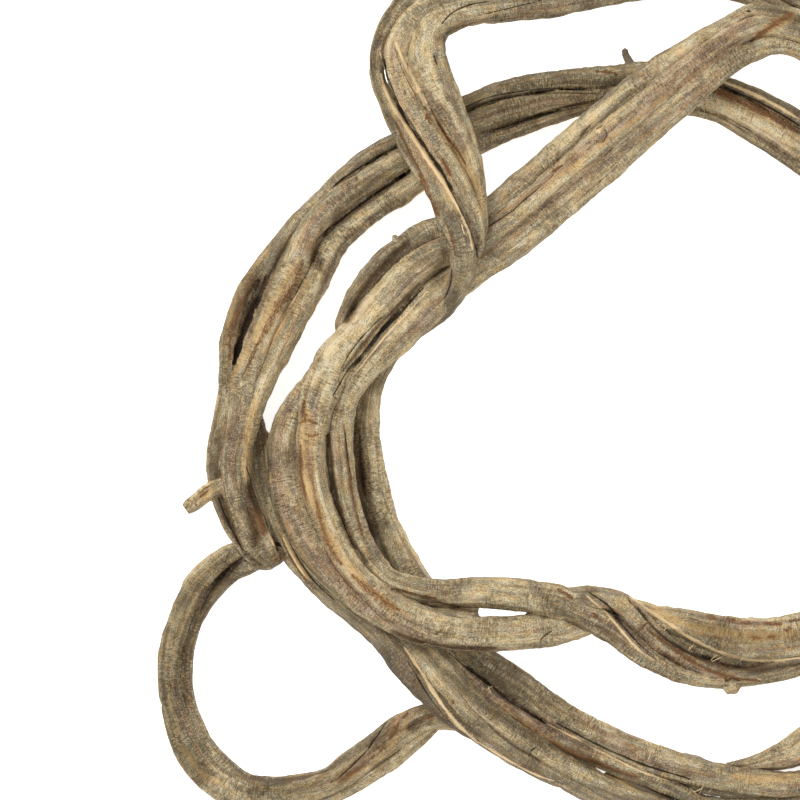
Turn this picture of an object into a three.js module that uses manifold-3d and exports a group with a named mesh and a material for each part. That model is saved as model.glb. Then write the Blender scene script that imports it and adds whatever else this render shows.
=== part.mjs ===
// A wreath of dried grapevine, lying flat on the surface it rests on.
// Four long vines are bent into a ring, wound over and under each other and tucked in at their ends.
// Each vine is a bundle of grown-together ribs with deep slots between them.
// Millimetres, +Z up, origin under the middle of the wreath on the surface.

import * as THREE from "three";
import { mergeVertices } from "three/addons/utils/BufferGeometryUtils.js";
import Module from "manifold-3d";

const wasm = await Module();
wasm.setup();

// Driving dimensions in millimetres, and how finely the ribs are faceted.
const SEAT_GAP = 0.32;
const RIB_STEP = 18;
const THIN_RIB = 14;
const RIB_SIDES = 8;
const THIN_SIDES = 6;
const SHARP_BEND = 0.42;
const CENTRE_X = -3.7;
const CENTRE_Y = 2;
const ROOM = 600;

// Dry bark in tan, straw, khaki and violet grey.
const INNER_BARK = { color: 0xa89878, roughness: 0.9, metalness: 0 };
const WRAP_BARK = { color: 0xb09a74, roughness: 0.88, metalness: 0 };
const ARCH_BARK = { color: 0x9b8a68, roughness: 0.9, metalness: 0 };
const GREY_BARK = { color: 0x90826c, roughness: 0.92, metalness: 0 };

// Routes of the ribs, each row the middle of a section and its size: x, y, z, width, depth.
// The arch goes round the outside of the ring from its tucked end, over the top and down the left.
const ARCH_RIBS = {
  rim: [
    [100, -181, 9, 3.5, 9], [118, -172, 10, 6.5, 13], [135.5, -161, 10, 8.5, 14],
    [157.5, -131, 10, 8, 14], [174, -101, 10, 8, 14], [186, -56.5, 10, 8, 14],
    [189.5, -10, 9.5, 8, 14], [183.5, 36, 9.5, 8, 14], [165, 78.5, 10, 8, 14],
    [136.5, 112.5, 10.5, 8, 14], [98.5, 140.5, 11, 9.5, 14], [78.5, 152, 11.5, 8, 13],
    [61, 159.5, 12, 6, 12], [40, 165, 12, 7.5, 13], [20, 164, 12, 11, 15], [0, 161, 12, 12, 16],
    [-20, 160, 12.5, 10, 16], [-50, 154.5, 12.5, 10, 16], [-65, 149, 12, 8.5, 15],
    [-85, 139.5, 12, 7.5, 14], [-103.5, 129, 12, 8, 15], [-115.5, 123, 13, 7.5, 15],
    [-127, 113.5, 13, 7.5, 15], [-137.5, 103.5, 13, 7, 16], [-150, 91, 14, 8, 16],
    [-159.5, 77.5, 15, 8, 16], [-166.5, 62.5, 17, 6.5, 14], [-171.5, 49, 19, 4, 10],
  ],
  face: [
    [71, -184, 9.5, 3, 9], [82, -182, 9.8, 7, 13], [103, -175.5, 10.3, 14, 20],
    [129, -154, 10.5, 15, 21], [150, -125, 10.5, 15, 21], [165, -96, 10.5, 15, 21],
    [177, -54, 10.5, 15, 21], [180.5, -10, 10.2, 15, 21], [174, 33.5, 10.5, 15, 21],
    [156.5, 73.5, 10.5, 15, 21], [130, 106.5, 11, 15, 21], [98.5, 128, 11.5, 14, 21],
    [78.5, 140.5, 12, 13.5, 21], [58, 150.5, 12, 14.5, 22], [35, 154, 12, 14, 22],
    [15, 153, 12, 10, 20], [0, 152, 12, 8, 18], [-19, 150, 12, 10.5, 20], [-39.5, 146, 12, 13, 21],
    [-59, 140, 12, 14, 22], [-80, 131, 12, 14, 22], [-106, 116, 13.5, 13, 22],
    [-127.5, 102, 14, 14.5, 22], [-143, 88, 15, 15.5, 22], [-151.5, 71.5, 16.5, 16, 22],
    [-160, 55, 18, 16, 22], [-166.5, 40, 20.5, 15.5, 21], [-172, 26.5, 23, 15, 21],
    [-176.5, 14, 25.5, 15, 20], [-180, 0, 28, 15, 20], [-182.5, -15, 27.5, 13.5, 20],
    [-184.5, -30, 26, 13, 20], [-183.5, -45, 25.5, 13, 20], [-180, -57.5, 25.5, 13, 20],
    [-175.5, -69, 26, 13, 20], [-170, -77, 25.5, 12, 20], [-165.5, -81, 24, 7, 14],
  ],
  inner: [
    [63.5, -183, 9, 2, 8], [79, -180.5, 9.8, 6, 13], [100, -169.5, 10.3, 8.5, 14],
    [122.5, -146.5, 10.5, 8, 14], [142, -118.5, 10.5, 8, 14], [156, -90, 10.5, 8, 14],
    [168.5, -51.5, 10.5, 8, 14], [172, -10, 10, 8, 14], [165.5, 31, 10.5, 8, 14],
    [148.5, 69, 10.5, 8, 14], [124, 100, 10.5, 8, 14], [98.5, 118, 10.5, 6.5, 14],
    [76, 132, 10.5, 5.5, 13], [55, 143.5, 11, 5.5, 13], [30, 147, 11, 6, 14], [10, 147, 11, 5.5, 14],
    [-1.5, 147, 11, 5, 14], [-20, 142.5, 11, 6.5, 15], [-39, 136.5, 11, 7.5, 15],
    [-60, 128.5, 11, 9.5, 16], [-77.5, 120, 11.5, 10.5, 17], [-98, 106, 12, 13, 18],
    [-114.5, 96, 12, 13.5, 18], [-127.5, 85, 12.5, 14, 19], [-136, 73.5, 13, 14, 19],
    [-141.5, 61.5, 14.5, 14, 19], [-148.5, 49, 16.5, 13.5, 19], [-155.5, 35, 19.5, 13, 19],
    [-162, 22, 22.5, 12.5, 18], [-168, 10, 25, 11.5, 18], [-173.5, -2.5, 27, 11.5, 18],
    [-177, -15, 27, 10.5, 17], [-179.5, -27.5, 25.5, 10, 17], [-179.5, -40, 25, 10.5, 17],
    [-176.5, -52.5, 25, 11.5, 17], [-171.5, -65, 25.5, 12, 17], [-167, -74.5, 25, 10, 17],
    [-164, -80, 24, 5.5, 12],
  ],
  split: [
    [-150, 94, 13, 4, 9], [-157.5, 83.5, 14, 6.5, 12], [-167, 70.5, 15, 7.5, 14],
    [-176, 57.5, 16, 8.5, 15], [-181.5, 44, 18, 9, 16], [-185.5, 30, 20.5, 9, 16],
    [-186.5, 17.5, 23.5, 8.5, 16], [-186.5, 5, 26.5, 9, 16], [-188.5, -6, 27, 9, 16],
    [-191, -20, 26, 9, 16], [-192.5, -34, 25, 8.5, 16], [-191, -48, 24.5, 7, 14],
    [-187, -59, 24.5, 6.5, 14], [-181.5, -68, 24.5, 7, 15], [-175, -75.5, 24.5, 9, 16],
    [-169, -81, 24, 7, 13],
  ],
  back: [
    [-157, 80, 12, 5, 10], [-168.5, 59, 12, 10, 14], [-176.5, 39, 15, 10, 14],
    [-181, 21, 18.5, 8.5, 13], [-182, 7, 21, 4.5, 9],
  ],
  stub: [
    [-186, -40.5, 26, 7, 9], [-194.5, -44.5, 25.5, 9, 9], [-200.5, -49.5, 25, 7, 8],
    [-206.5, -54.5, 25, 6.5, 7.5],
  ],
  twig: [
    [18, 163, 14, 7, 8], [15, 169, 14, 5.5, 6], [13, 173, 14, 4, 4.5], [12.5, 176.5, 14, 3.2, 3.5],
  ],
  knuckle: [
    [-157, -76.5, 19, 5, 9], [-166, -78.5, 17, 13, 19], [-176, -78, 15, 15, 18],
    [-184, -81, 10, 12, 15],
  ],
};

// The arch folds back under itself at its lower left and goes on as the small loop.
const LOOP_RIBS = {
  main: [
    [-167, -78, 12, 8, 14], [-175, -77.5, 9.5, 11, 16], [-184, -77.5, 8.5, 11.5, 16],
    [-193.5, -84, 8.5, 12, 17], [-203, -94.5, 8.5, 12.5, 17], [-210, -110, 8.5, 12.5, 17],
    [-215, -127.5, 8.3, 12, 17], [-215, -145, 8.1, 12, 17], [-209.5, -162.5, 8.3, 13, 17],
    [-202, -177, 8.5, 14, 17], [-192.5, -188, 8.5, 14, 17], [-179, -195.5, 8.5, 14, 17],
    [-162.5, -198, 8.1, 13.5, 17], [-146, -196, 8.5, 13, 17], [-132, -190.5, 8.5, 13, 17],
    [-121, -183, 8.5, 12.5, 17], [-110, -175, 8.5, 12.5, 17], [-98, -166.5, 8.5, 12.5, 17],
    [-86, -160, 8.5, 12, 16], [-72.5, -160.5, 8.5, 10, 15], [-59.5, -166.5, 8.5, 7.5, 13],
    [-46, -175.5, 8, 4.5, 9],
  ],
  inner: [
    [-169, -81.5, 9, 6, 11], [-176, -83.5, 8, 8, 13], [-184, -87, 7.5, 8, 13],
    [-192, -95, 7.5, 7.5, 13], [-198.5, -104, 7.5, 7, 13], [-202, -111, 7.5, 6.5, 13],
    [-205.5, -122.5, 7.5, 6, 13], [-207, -134, 7.5, 5.5, 13], [-206.5, -146, 7.5, 6, 13],
    [-204, -157, 7.5, 6.5, 13], [-197.5, -171.5, 7.5, 7.5, 13], [-188, -182.5, 7.5, 8, 13],
    [-177, -191, 7.5, 7.5, 13], [-162.5, -192.5, 7.5, 7.5, 13], [-148.5, -191, 7.5, 7.5, 13],
    [-136.5, -188, 7.5, 7.5, 13], [-125.5, -179.5, 7.5, 7.5, 13], [-114.5, -172, 7.5, 7.5, 13],
    [-104, -163.5, 7.5, 7.5, 13], [-94, -158, 7.5, 7.5, 13], [-83, -154, 7.5, 5, 10],
  ],
  outer: [
    [-218.5, -153, 7.5, 3.5, 9], [-212.5, -170.5, 7.3, 6.5, 12], [-205, -184, 7.3, 7.5, 13],
    [-194, -195, 7.3, 7.5, 13], [-180, -201.5, 7.3, 7.5, 13], [-162.5, -204, 7.3, 7, 13],
    [-144, -201.5, 7.3, 7, 13], [-128, -196, 7.3, 7.5, 13], [-114.5, -188, 7.3, 7.5, 13],
    [-102.5, -180.5, 7.3, 7.5, 13], [-91.5, -171.5, 7.3, 7, 13], [-81.5, -163.5, 7.3, 4.5, 10],
  ],
};

// The inner vine comes down the wide slant, round the inside of the ring and back to the right.
const INNER_RIBS = {
  edge: [
    [160.5, -80, 8.5, 7, 13], [165.5, -56, 9.5, 8, 13], [165, -26, 10.5, 8, 13],
    [163.5, 2.5, 15, 8, 13], [169, 36, 25, 8, 14], [175, 75, 33, 8, 14], [170, 117.5, 34, 8.5, 14],
    [154.5, 152.5, 34, 9, 15], [129, 180, 34, 9, 15], [100, 190, 34, 9, 15], [88, 192.5, 34, 9, 15],
    [76.5, 193.5, 34, 9, 15], [66.5, 188.5, 34, 9, 15], [54.5, 181.5, 33.5, 10, 15],
    [27, 164.5, 33, 11, 16], [-4.5, 138.5, 31, 11.5, 16], [-32, 115, 28, 11.5, 16],
    [-52, 97.5, 26, 11.5, 16], [-67.5, 88, 25, 11.5, 16], [-85, 84.5, 26, 12.5, 16],
    [-96, 78, 28, 12, 16], [-106, 70.5, 29, 12, 16], [-114.5, 61.5, 29.5, 11.5, 16],
    [-121.5, 52, 29.5, 10.5, 16], [-127, 43.5, 29.5, 7.5, 14], [-131, 34.5, 30, 4.5, 10],
  ],
  middle: [
    [153.5, -81, 9.5, 8, 15], [157.5, -56, 9.8, 10, 17], [157, -26, 11.5, 11, 18],
    [156, 4, 16, 11.5, 18], [161.5, 39, 26, 12, 20], [166.5, 76.5, 34.5, 12, 20],
    [161.5, 114, 35, 12, 20], [146.5, 146.5, 35, 12, 20], [124, 172, 35, 11.5, 20],
    [100, 182.5, 35, 11, 20], [90, 185, 35, 11, 20], [80, 186.5, 35, 11.5, 20],
    [69, 182.5, 35, 13, 20], [58, 175.5, 34.5, 14, 21], [32.5, 156.5, 34, 15, 22],
    [2, 130, 32, 15.5, 22], [-25.5, 106.5, 29, 15.5, 22], [-45.5, 89, 27, 15.5, 22],
    [-65, 78, 26, 16.5, 22], [-83, 71.5, 27.5, 17, 22], [-94.5, 63.5, 29.5, 18, 22],
    [-105.5, 52, 31, 19, 22], [-114, 42.5, 31.5, 19, 22], [-122.5, 31, 32, 19.5, 22],
    [-132, 19.5, 32.5, 20, 22], [-137, 9.5, 33, 19.5, 22], [-141.5, -1, 33, 18, 22],
    [-143.5, -13, 33, 16.5, 21], [-144.5, -25, 33, 15, 21], [-142.5, -41, 33, 15, 21],
    [-139.5, -53, 33.5, 14, 21], [-135.5, -63.5, 34.5, 13.5, 21], [-130, -75.5, 36, 13.5, 21],
    [-122.5, -87, 38, 13.5, 21], [-111, -97.5, 39.5, 14.5, 20], [-98, -107, 40, 16.5, 20],
    [-80, -114, 39, 18.5, 21], [-60, -116.5, 35, 17.5, 21], [-40, -116, 31, 16.5, 21],
    [-20, -114, 26, 16, 20], [-5, -109.5, 22, 15.5, 19], [11, -106, 20, 14, 18],
    [27.5, -109.5, 20.5, 13.5, 18], [41, -111.5, 21.5, 14.5, 19], [55, -115.5, 21.5, 17.5, 20],
    [75, -119.5, 20.5, 21, 20], [100, -118, 19, 23, 21], [125, -110, 22, 20, 21],
    [148.5, -91.5, 30, 18, 21], [167.5, -66, 36, 17, 21], [183.5, -36, 37, 16, 20],
    [195.5, -7, 35.5, 14, 18], [202.5, 19, 34, 10, 14], [205, 39, 33, 5, 9],
  ],
  open: [
    [147.5, -82, 8.5, 6.5, 12], [150, -56, 9.5, 8, 13], [149.5, -26, 10.5, 8, 13],
    [148.5, 5, 15, 8.5, 13], [153.5, 41, 25, 8.5, 14], [158.5, 78, 34, 9, 14],
    [153.5, 111, 34.5, 9, 15], [140, 140, 34.5, 9, 15], [120.5, 163, 34.5, 9.5, 15],
    [100, 175, 34.5, 10, 16], [89, 178, 34.5, 11, 16], [76, 175, 34.5, 12, 16],
    [64.5, 169, 34, 13, 17], [39.5, 149, 33.5, 15, 18], [9, 122, 31.5, 15.5, 18],
    [-18.5, 98.5, 28.5, 15.5, 18], [-38.5, 81.5, 26, 16, 18], [-57, 69, 24.5, 16.5, 19],
    [-72.5, 59, 26, 18, 20], [-87, 47, 29, 19.5, 20], [-99, 34, 31.5, 18, 20],
    [-110, 23.5, 31.5, 15.5, 19], [-120.5, 11.5, 30, 12, 18], [-127, 0, 28.5, 11.5, 17],
    [-130, -14, 27.5, 13.5, 17], [-130, -27.5, 27, 14, 17], [-128.5, -42.5, 27, 13.5, 17],
    [-125, -56.5, 27, 13, 17], [-120.5, -69, 27.5, 13, 17], [-114.5, -80.5, 29, 13, 17],
    [-106, -89.5, 31, 12, 17], [-95, -94, 32, 12, 17], [-80, -96.5, 32, 14, 18],
    [-60, -96, 31.5, 15.5, 19], [-40, -97.5, 31.5, 16.5, 19], [-22, -100.5, 32, 17, 19],
    [-7.5, -105, 31.5, 13, 16], [0, -108, 31, 8, 12],
  ],
  violet: [
    [-135, 25, 26, 7, 12], [-142.5, 9.5, 28.5, 12, 15], [-151.5, -3, 29.5, 13.5, 17],
    [-157.5, -16.5, 30, 15, 18], [-158.5, -30, 30, 15.5, 18], [-156.5, -45, 30, 16.5, 18],
    [-151.5, -60, 30.5, 16.5, 18], [-144, -74, 31.5, 16, 18], [-134.5, -86, 33, 14.5, 18],
    [-123, -97, 34.5, 13, 17], [-110.5, -107, 35.5, 10.5, 15], [-98.5, -115, 36, 8, 12],
    [-87.5, -120.5, 36, 4.5, 9],
  ],
  twistLow: [
    [-22, -103.5, 31, 10, 15], [-8.5, -107, 32, 13, 17], [5, -114, 33, 14.5, 18],
    [16.5, -123, 32, 13, 17], [31, -133, 29, 9.5, 16], [44, -138, 26, 8, 15],
    [60, -140.5, 22.5, 7, 14], [80, -139, 19.5, 6.5, 13], [100, -134.5, 18.5, 7, 13],
    [127.5, -125.5, 21, 8, 13], [154, -107, 30, 8.5, 14], [175.5, -80, 36, 8.5, 14],
    [193, -47.5, 36.5, 7.5, 13], [205, -16, 36, 4.5, 9],
  ],
  twistHigh: [
    [-20, -98.5, 31.5, 9, 14], [-5, -99, 33, 11, 16], [8.5, -101, 33.5, 11, 16],
    [16.5, -107.5, 33, 11.5, 16], [24, -114.5, 32, 11, 16], [32.5, -122.5, 30, 10.5, 16],
    [44, -129.5, 27, 10, 15], [57, -135.5, 24, 8.5, 14], [71, -137.5, 21.5, 7.5, 13],
    [85, -135.5, 20, 8, 13], [100, -130, 19, 8, 13], [125, -120.5, 21.5, 8, 13],
    [150, -102.5, 30, 8, 13],
  ],
  channel: [
    [12.5, -105, 23, 7, 12], [27.5, -116, 21, 12, 12], [41, -123, 19, 14, 12],
    [53.5, -128.5, 17.5, 14, 12], [70, -132.5, 16.5, 12, 12], [92.5, -129.5, 16, 10, 12],
    [110, -124, 17, 6, 10],
  ],
  knob: [
    [65, -138, 24, 7, 8], [66, -143, 21.5, 7.5, 7], [66.5, -145.5, 21, 5, 5],
  ],
  bud: [
    [-101, 78.5, 33, 6, 8], [-103, 82, 34, 4, 4], [-104, 83.5, 34.3, 2, 2.5],
  ],
};

// The wrap goes over the top, over the arch and the slant, then under the ring and along the bottom.
const WRAP_RIBS = {
  left: [
    [206.5, 6, 8.5, 7, 13], [208, 37.5, 9.5, 8.5, 14], [200.5, 76, 9.8, 8.5, 14],
    [184, 114, 10, 8.5, 14], [163.5, 150, 10, 8.5, 14], [136.5, 182, 10, 9, 15],
    [110, 206, 10, 9.5, 15], [80, 221.5, 11, 10, 15], [45, 229, 12.5, 10.5, 16],
    [2.5, 228, 17, 11.5, 16], [-30, 219, 22, 12, 17], [-59, 215, 26, 12, 17],
    [-81.5, 209.5, 29, 11, 17], [-97, 199.5, 31, 10, 16], [-107, 186, 32, 8.5, 15],
    [-111.5, 172.5, 32.5, 7, 14], [-111, 160, 33, 7, 14], [-106.5, 148.5, 33.5, 8.5, 15],
    [-100.5, 137.5, 34, 10.5, 16], [-93.5, 126, 35, 12.5, 17], [-85.5, 114, 37.5, 13.5, 18],
    [-79, 102.5, 42, 14, 19], [-73.5, 90, 46, 14.5, 20], [-69, 78.5, 47, 13.5, 20],
    [-68.5, 68, 42.5, 12.5, 19], [-71, 58, 35, 11.5, 18], [-76.5, 49, 26.5, 11, 17],
    [-84, 42, 19, 11, 17], [-93.5, 35.5, 13, 11, 17], [-103, 27, 10, 11, 17],
    [-110, 16, 9.3, 10.5, 17], [-114, 4.5, 9.3, 10, 17], [-115.5, -7, 9.3, 10.5, 17],
    [-115, -20, 9.3, 11, 17], [-112.5, -40, 9.3, 11.5, 17], [-110, -52.5, 9.5, 12.5, 18],
    [-104.5, -68.5, 10, 14, 19], [-98, -82.5, 10.5, 15.5, 20], [-88, -99.5, 11.5, 17.5, 20],
    [-72.5, -119, 12.5, 17, 20], [-55, -133.5, 13, 15, 20], [-40, -143.5, 13, 15, 20],
    [-20, -158, 12.5, 15, 20], [0, -169, 12, 15, 20], [20, -177.5, 11.5, 14.5, 20],
    [40, -184, 11, 15, 20], [60, -189, 11, 13.5, 20], [80, -191.5, 11, 13.5, 20],
    [100, -192.5, 10.5, 13, 20], [125, -184, 10.5, 12.5, 20], [150, -165, 10.5, 12.5, 20],
    [170, -140, 10.5, 12, 19], [183, -110, 10.5, 10.5, 18], [188, -83, 10, 8.5, 16],
  ],
  middle: [
    [199.5, 4, 10, 9, 16], [200.5, 37.5, 10.8, 11, 19], [192.5, 72, 11, 11, 20],
    [176.5, 109, 11, 11.5, 20], [156, 144, 11, 11.5, 20], [130.5, 175, 11, 12, 20],
    [106, 197.5, 11, 12.5, 20], [78.5, 212, 12, 13, 20], [45, 219, 14, 13, 20],
    [0, 218, 18.5, 13.5, 20], [-30, 208.5, 24, 13.5, 20], [-56, 205, 28, 13.5, 20],
    [-77, 200.5, 31, 13, 20], [-93, 191, 34, 13, 20], [-101.5, 177, 35, 12.5, 19],
    [-101, 162.5, 35.5, 12, 18], [-95, 150, 36, 14, 19], [-88.5, 139, 36.5, 12.5, 19],
    [-82, 127.5, 37, 12, 19], [-75.5, 117.5, 39, 11.5, 18], [-70, 107.5, 42, 11, 17],
    [-65, 97.5, 44, 9.5, 16], [-61.5, 87.5, 44, 7.5, 14], [-60.5, 78.5, 42, 5.5, 11],
    [-62, 71, 39, 3.5, 8],
  ],
  right: [
    [193, 5, 9, 7, 13], [193, 36, 10, 8.5, 15], [185, 68, 10, 8.5, 15], [169, 104, 10, 8.5, 15],
    [148.5, 138, 10, 8.5, 15], [124, 167.5, 10, 9, 15], [101.5, 189, 10, 9, 15],
    [76.5, 202.5, 11, 9.5, 16], [45, 208.5, 13.5, 11, 16], [2.5, 208, 17.5, 13, 18],
    [-22, 201.5, 22.5, 14, 19], [-46, 197, 27, 15, 20], [-67, 194.5, 30.5, 15.5, 20],
    [-82, 188.5, 33, 18, 21], [-88, 177, 34, 21.5, 21], [-86, 165, 34.5, 21.5, 21],
    [-80.5, 152.5, 35, 20, 21], [-74, 141, 35, 15.5, 20], [-69, 130, 35, 13.5, 19],
    [-65, 120, 36, 11.5, 18], [-62, 110, 38, 8.5, 16], [-60, 100, 40, 6.5, 14],
    [-58.5, 90.5, 40, 5, 12], [-58, 82.5, 39, 3.5, 9],
  ],
  deep: [
    [-117, 8, 7.5, 6, 10], [-121, -5, 8, 8, 13], [-122.5, -20, 8, 7.5, 13], [-121, -40, 8, 7.5, 13],
    [-117, -55, 8, 8.5, 14], [-112, -70, 8.5, 9.5, 15], [-105.5, -84, 9, 10.5, 16],
    [-97.5, -96, 10, 11.5, 17], [-86.5, -112, 11.5, 11.5, 18], [-75, -128.5, 13, 10, 18],
    [-60, -144.5, 14, 9.5, 18], [-40, -158, 14, 9.5, 18], [-20, -171, 13, 9.5, 18],
    [0, -179.5, 12, 10, 17], [20, -187.5, 10.5, 10.5, 16], [35, -194, 9.5, 9.5, 15],
    [52.5, -202, 8.5, 7.5, 13], [76, -203, 8, 8, 13], [100, -199.5, 8, 8.5, 13],
    [125, -190, 8, 8.5, 13], [152.5, -170.5, 8, 8, 12], [173.5, -144, 8, 6, 10],
  ],
};

// The grey vine starts under the arch, runs beneath the inner vine and along the bottom.
const GREY_RIBS = {
  outer: [
    [-186, 8, 8, 4, 8], [-180, 2, 8.5, 8.5, 14], [-174, -8, 8.8, 10, 16], [-171.5, -20, 9, 10.5, 16],
    [-170.5, -32.5, 9.2, 10.5, 17], [-168, -46, 9.5, 10, 17], [-163.5, -59, 10, 10, 18],
    [-158, -70.5, 10.5, 11, 18], [-151, -80, 11, 12.5, 19], [-141, -90, 12, 13.5, 19],
    [-127.5, -101.5, 14.5, 14, 19], [-110.5, -116, 20, 13.5, 19], [-97, -134.5, 25, 12, 18],
    [-86, -146, 26.5, 11.5, 18], [-75.5, -157, 26.5, 10, 17], [-63.5, -165, 25, 9, 16],
    [-47.5, -176.5, 21.5, 7, 14], [-29.5, -187.5, 17, 5, 11], [-20, -193, 15, 3, 7],
  ],
  middle: [
    [-168.5, -16, 8.5, 5, 9], [-164.5, -29, 10, 8.5, 15], [-162, -42, 10.5, 9.5, 17],
    [-157.5, -55, 11, 10, 18], [-150.5, -67, 11.3, 11, 18], [-140, -79, 12, 12, 18],
    [-125, -94, 14, 12, 18], [-108.5, -109, 17, 11.5, 18], [-94, -125, 21.5, 11, 18],
    [-80, -142.5, 25, 10, 18], [-65, -159, 24.5, 9, 17], [-50, -172.5, 21, 8.5, 16],
    [-35, -182, 18, 8.5, 16], [-20, -189.5, 14.5, 8.5, 16], [-5, -197, 11.5, 9, 16],
    [15, -204.5, 9, 9, 15], [32.5, -211, 8.5, 9, 15], [57.5, -219.5, 8.2, 9, 15],
    [92.5, -224.5, 8, 9, 15], [127.5, -215, 8.2, 9, 15], [158, -193.5, 8.2, 9, 15],
    [183.5, -162, 8.2, 9, 15], [201.5, -124, 8.2, 9, 15], [208, -87.5, 8, 9, 14],
    [206, -54, 8, 8.5, 14], [201, -26, 8, 7, 13],
  ],
  inner: [
    [-154, -48.5, 9.5, 4.5, 9], [-148, -62.5, 10.5, 9, 16], [-138, -76, 11.5, 11, 18],
    [-124, -90, 13, 12, 18], [-108.5, -102.5, 14.5, 12.5, 19], [-94, -116.5, 17, 13, 20],
    [-80, -132, 19, 13, 20], [-65, -149, 19.5, 13, 20], [-50, -162, 18.5, 13, 20],
    [-35, -172, 16.5, 13, 20], [-20, -181.5, 14, 12.5, 20], [-5, -190, 12, 12, 20],
    [10, -196.5, 11, 11, 20], [30, -204, 10.5, 11, 20], [55, -213, 10.3, 11, 20],
    [90, -218, 10, 11, 20], [122.5, -209, 10.2, 11, 20], [152.5, -187.5, 10.3, 11, 20],
    [177.5, -157.5, 10.3, 11, 20], [195, -121, 10.3, 11, 20], [201, -85, 10, 10.5, 18],
    [199, -54, 9.5, 10, 17], [195, -26, 9.5, 9, 16],
  ],
};

// The number of sides of a rib's sections, fewer on a thin one.
function sidesOf(rows) {
  const widest = Math.max(...rows.map(([, , , wide]) => wide));
  return widest < THIN_RIB ? THIN_SIDES : RIB_SIDES;
}

// One section of a rib, an upright oval across its route.
function sectionRing(middle, along, wide, deep, sides) {
  const flats = Math.cos(Math.PI / sides);
  const across = new THREE.Vector3(along.y, -along.x, 0).normalize();
  const upward = new THREE.Vector3().crossVectors(across, along).normalize();
  return Array.from({ length: sides }, (_, side) => {
    const angle = ((side + 0.5) / sides) * 2 * Math.PI;
    const point = middle.clone();
    point.addScaledVector(across, (Math.cos(angle) * wide) / 2 / flats);
    point.addScaledVector(upward, (Math.sin(angle) * deep) / 2 / flats);
    return point;
  });
}

// The places of a rib's sections along its route, closer together in its sharp bends.
function sectionPlaces(route) {
  const steps = Math.ceil(route.getLength() / RIB_STEP);
  const even = Array.from({ length: steps + 1 }, (_, step) => route.getUtoTmapping(step / steps));
  return even.flatMap((place, index) => {
    if (index === 0) return [place];
    const before = even[index - 1];
    const bend = route.getTangent(before).angleTo(route.getTangent(place));
    return bend > SHARP_BEND ? [(before + place) / 2, place] : [place];
  });
}

// The sections along a rib, made fatter all round and longer at its ends by the extra.
function ribSections(rows, extra) {
  const route = new THREE.CatmullRomCurve3(rows.map(([x, y, z]) => new THREE.Vector3(x, y, z)));
  const last = rows.length - 1;
  return sectionPlaces(route).map((place) => {
    const row = Math.min(Math.floor(place * last), last - 1);
    const part = place * last - row;
    const along = route.getTangent(place);
    const middle = route.getPoint(place);
    if (place === 0) middle.addScaledVector(along, -extra);
    if (place === 1) middle.addScaledVector(along, extra);
    const wide = THREE.MathUtils.lerp(rows[row][3], rows[row + 1][3], part) + 2 * extra;
    const deep = THREE.MathUtils.lerp(rows[row][4], rows[row + 1][4], part) + 2 * extra;
    return sectionRing(middle, along, wide, deep, sidesOf(rows));
  });
}

// A closed skin over a rib's sections, with flat ends.
function skinGeometry(rings) {
  const sides = rings[0].length;
  const positions = rings.flat().flatMap((point) => point.toArray());
  const faces = [];
  for (let ring = 0; ring < rings.length - 1; ring += 1) {
    for (let side = 0; side < sides; side += 1) {
      const here = ring * sides + side;
      const beside = ring * sides + ((side + 1) % sides);
      faces.push(here, beside + sides, beside, here, here + sides, beside + sides);
    }
  }
  const tip = (rings.length - 1) * sides;
  for (let side = 1; side < sides - 1; side += 1) {
    faces.push(0, side, side + 1, tip, tip + side + 1, tip + side);
  }
  const geometry = new THREE.BufferGeometry();
  geometry.setAttribute("position", new THREE.Float32BufferAttribute(positions, 3));
  geometry.setIndex(faces);
  return geometry;
}

// A closed geometry as a solid that can be joined and cut.
function solidOf(geometry) {
  geometry.deleteAttribute("normal");
  geometry.deleteAttribute("uv");
  const merged = mergeVertices(geometry, 1e-4);
  return new wasm.Manifold(new wasm.Mesh({
    numProp: 3,
    vertProperties: new Float32Array(merged.attributes.position.array),
    triVerts: new Uint32Array(merged.index.array),
  }));
}

// All the ribs of a vine grown together, the extra making it fatter all round.
function vineSolid(ribs, extra) {
  const solids = Object.values(ribs).map((rows) => solidOf(skinGeometry(ribSections(rows, extra))));
  return solids.reduce((whole, rib) => whole.add(rib));
}

// The room above the surface, which the undersides are pressed flat against.
function roomAbove() {
  const box = new THREE.BoxGeometry(ROOM, ROOM, ROOM);
  box.translate(0, 0, ROOM / 2);
  return solidOf(box);
}

// The largest piece of a solid: sealed hollows are filled and loose scraps dropped.
function largestPiece(solid) {
  return solid.decompose().reduce((most, piece) => (piece.volume() > most.volume() ? piece : most));
}

// A vine's mesh, pressed against the vines that it lies on and the surface.
function vineMesh(name, ribs, neighbours, bark) {
  let solid = vineSolid(ribs, 0).intersect(roomAbove());
  for (const neighbour of neighbours) solid = solid.subtract(vineSolid(neighbour, SEAT_GAP));
  const mesh = largestPiece(solid).getMesh();
  const geometry = new THREE.BufferGeometry();
  geometry.setAttribute("position", new THREE.BufferAttribute(mesh.vertProperties, 3));
  geometry.setIndex(new THREE.BufferAttribute(mesh.triVerts, 1));
  geometry.computeVertexNormals();
  const vine = new THREE.Mesh(geometry, new THREE.MeshStandardMaterial(bark));
  vine.name = name;
  return vine;
}

const archWithLoop = {
  ...ARCH_RIBS,
  loopMain: LOOP_RIBS.main,
  loopInner: LOOP_RIBS.inner,
  loopOuter: LOOP_RIBS.outer,
};

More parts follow.
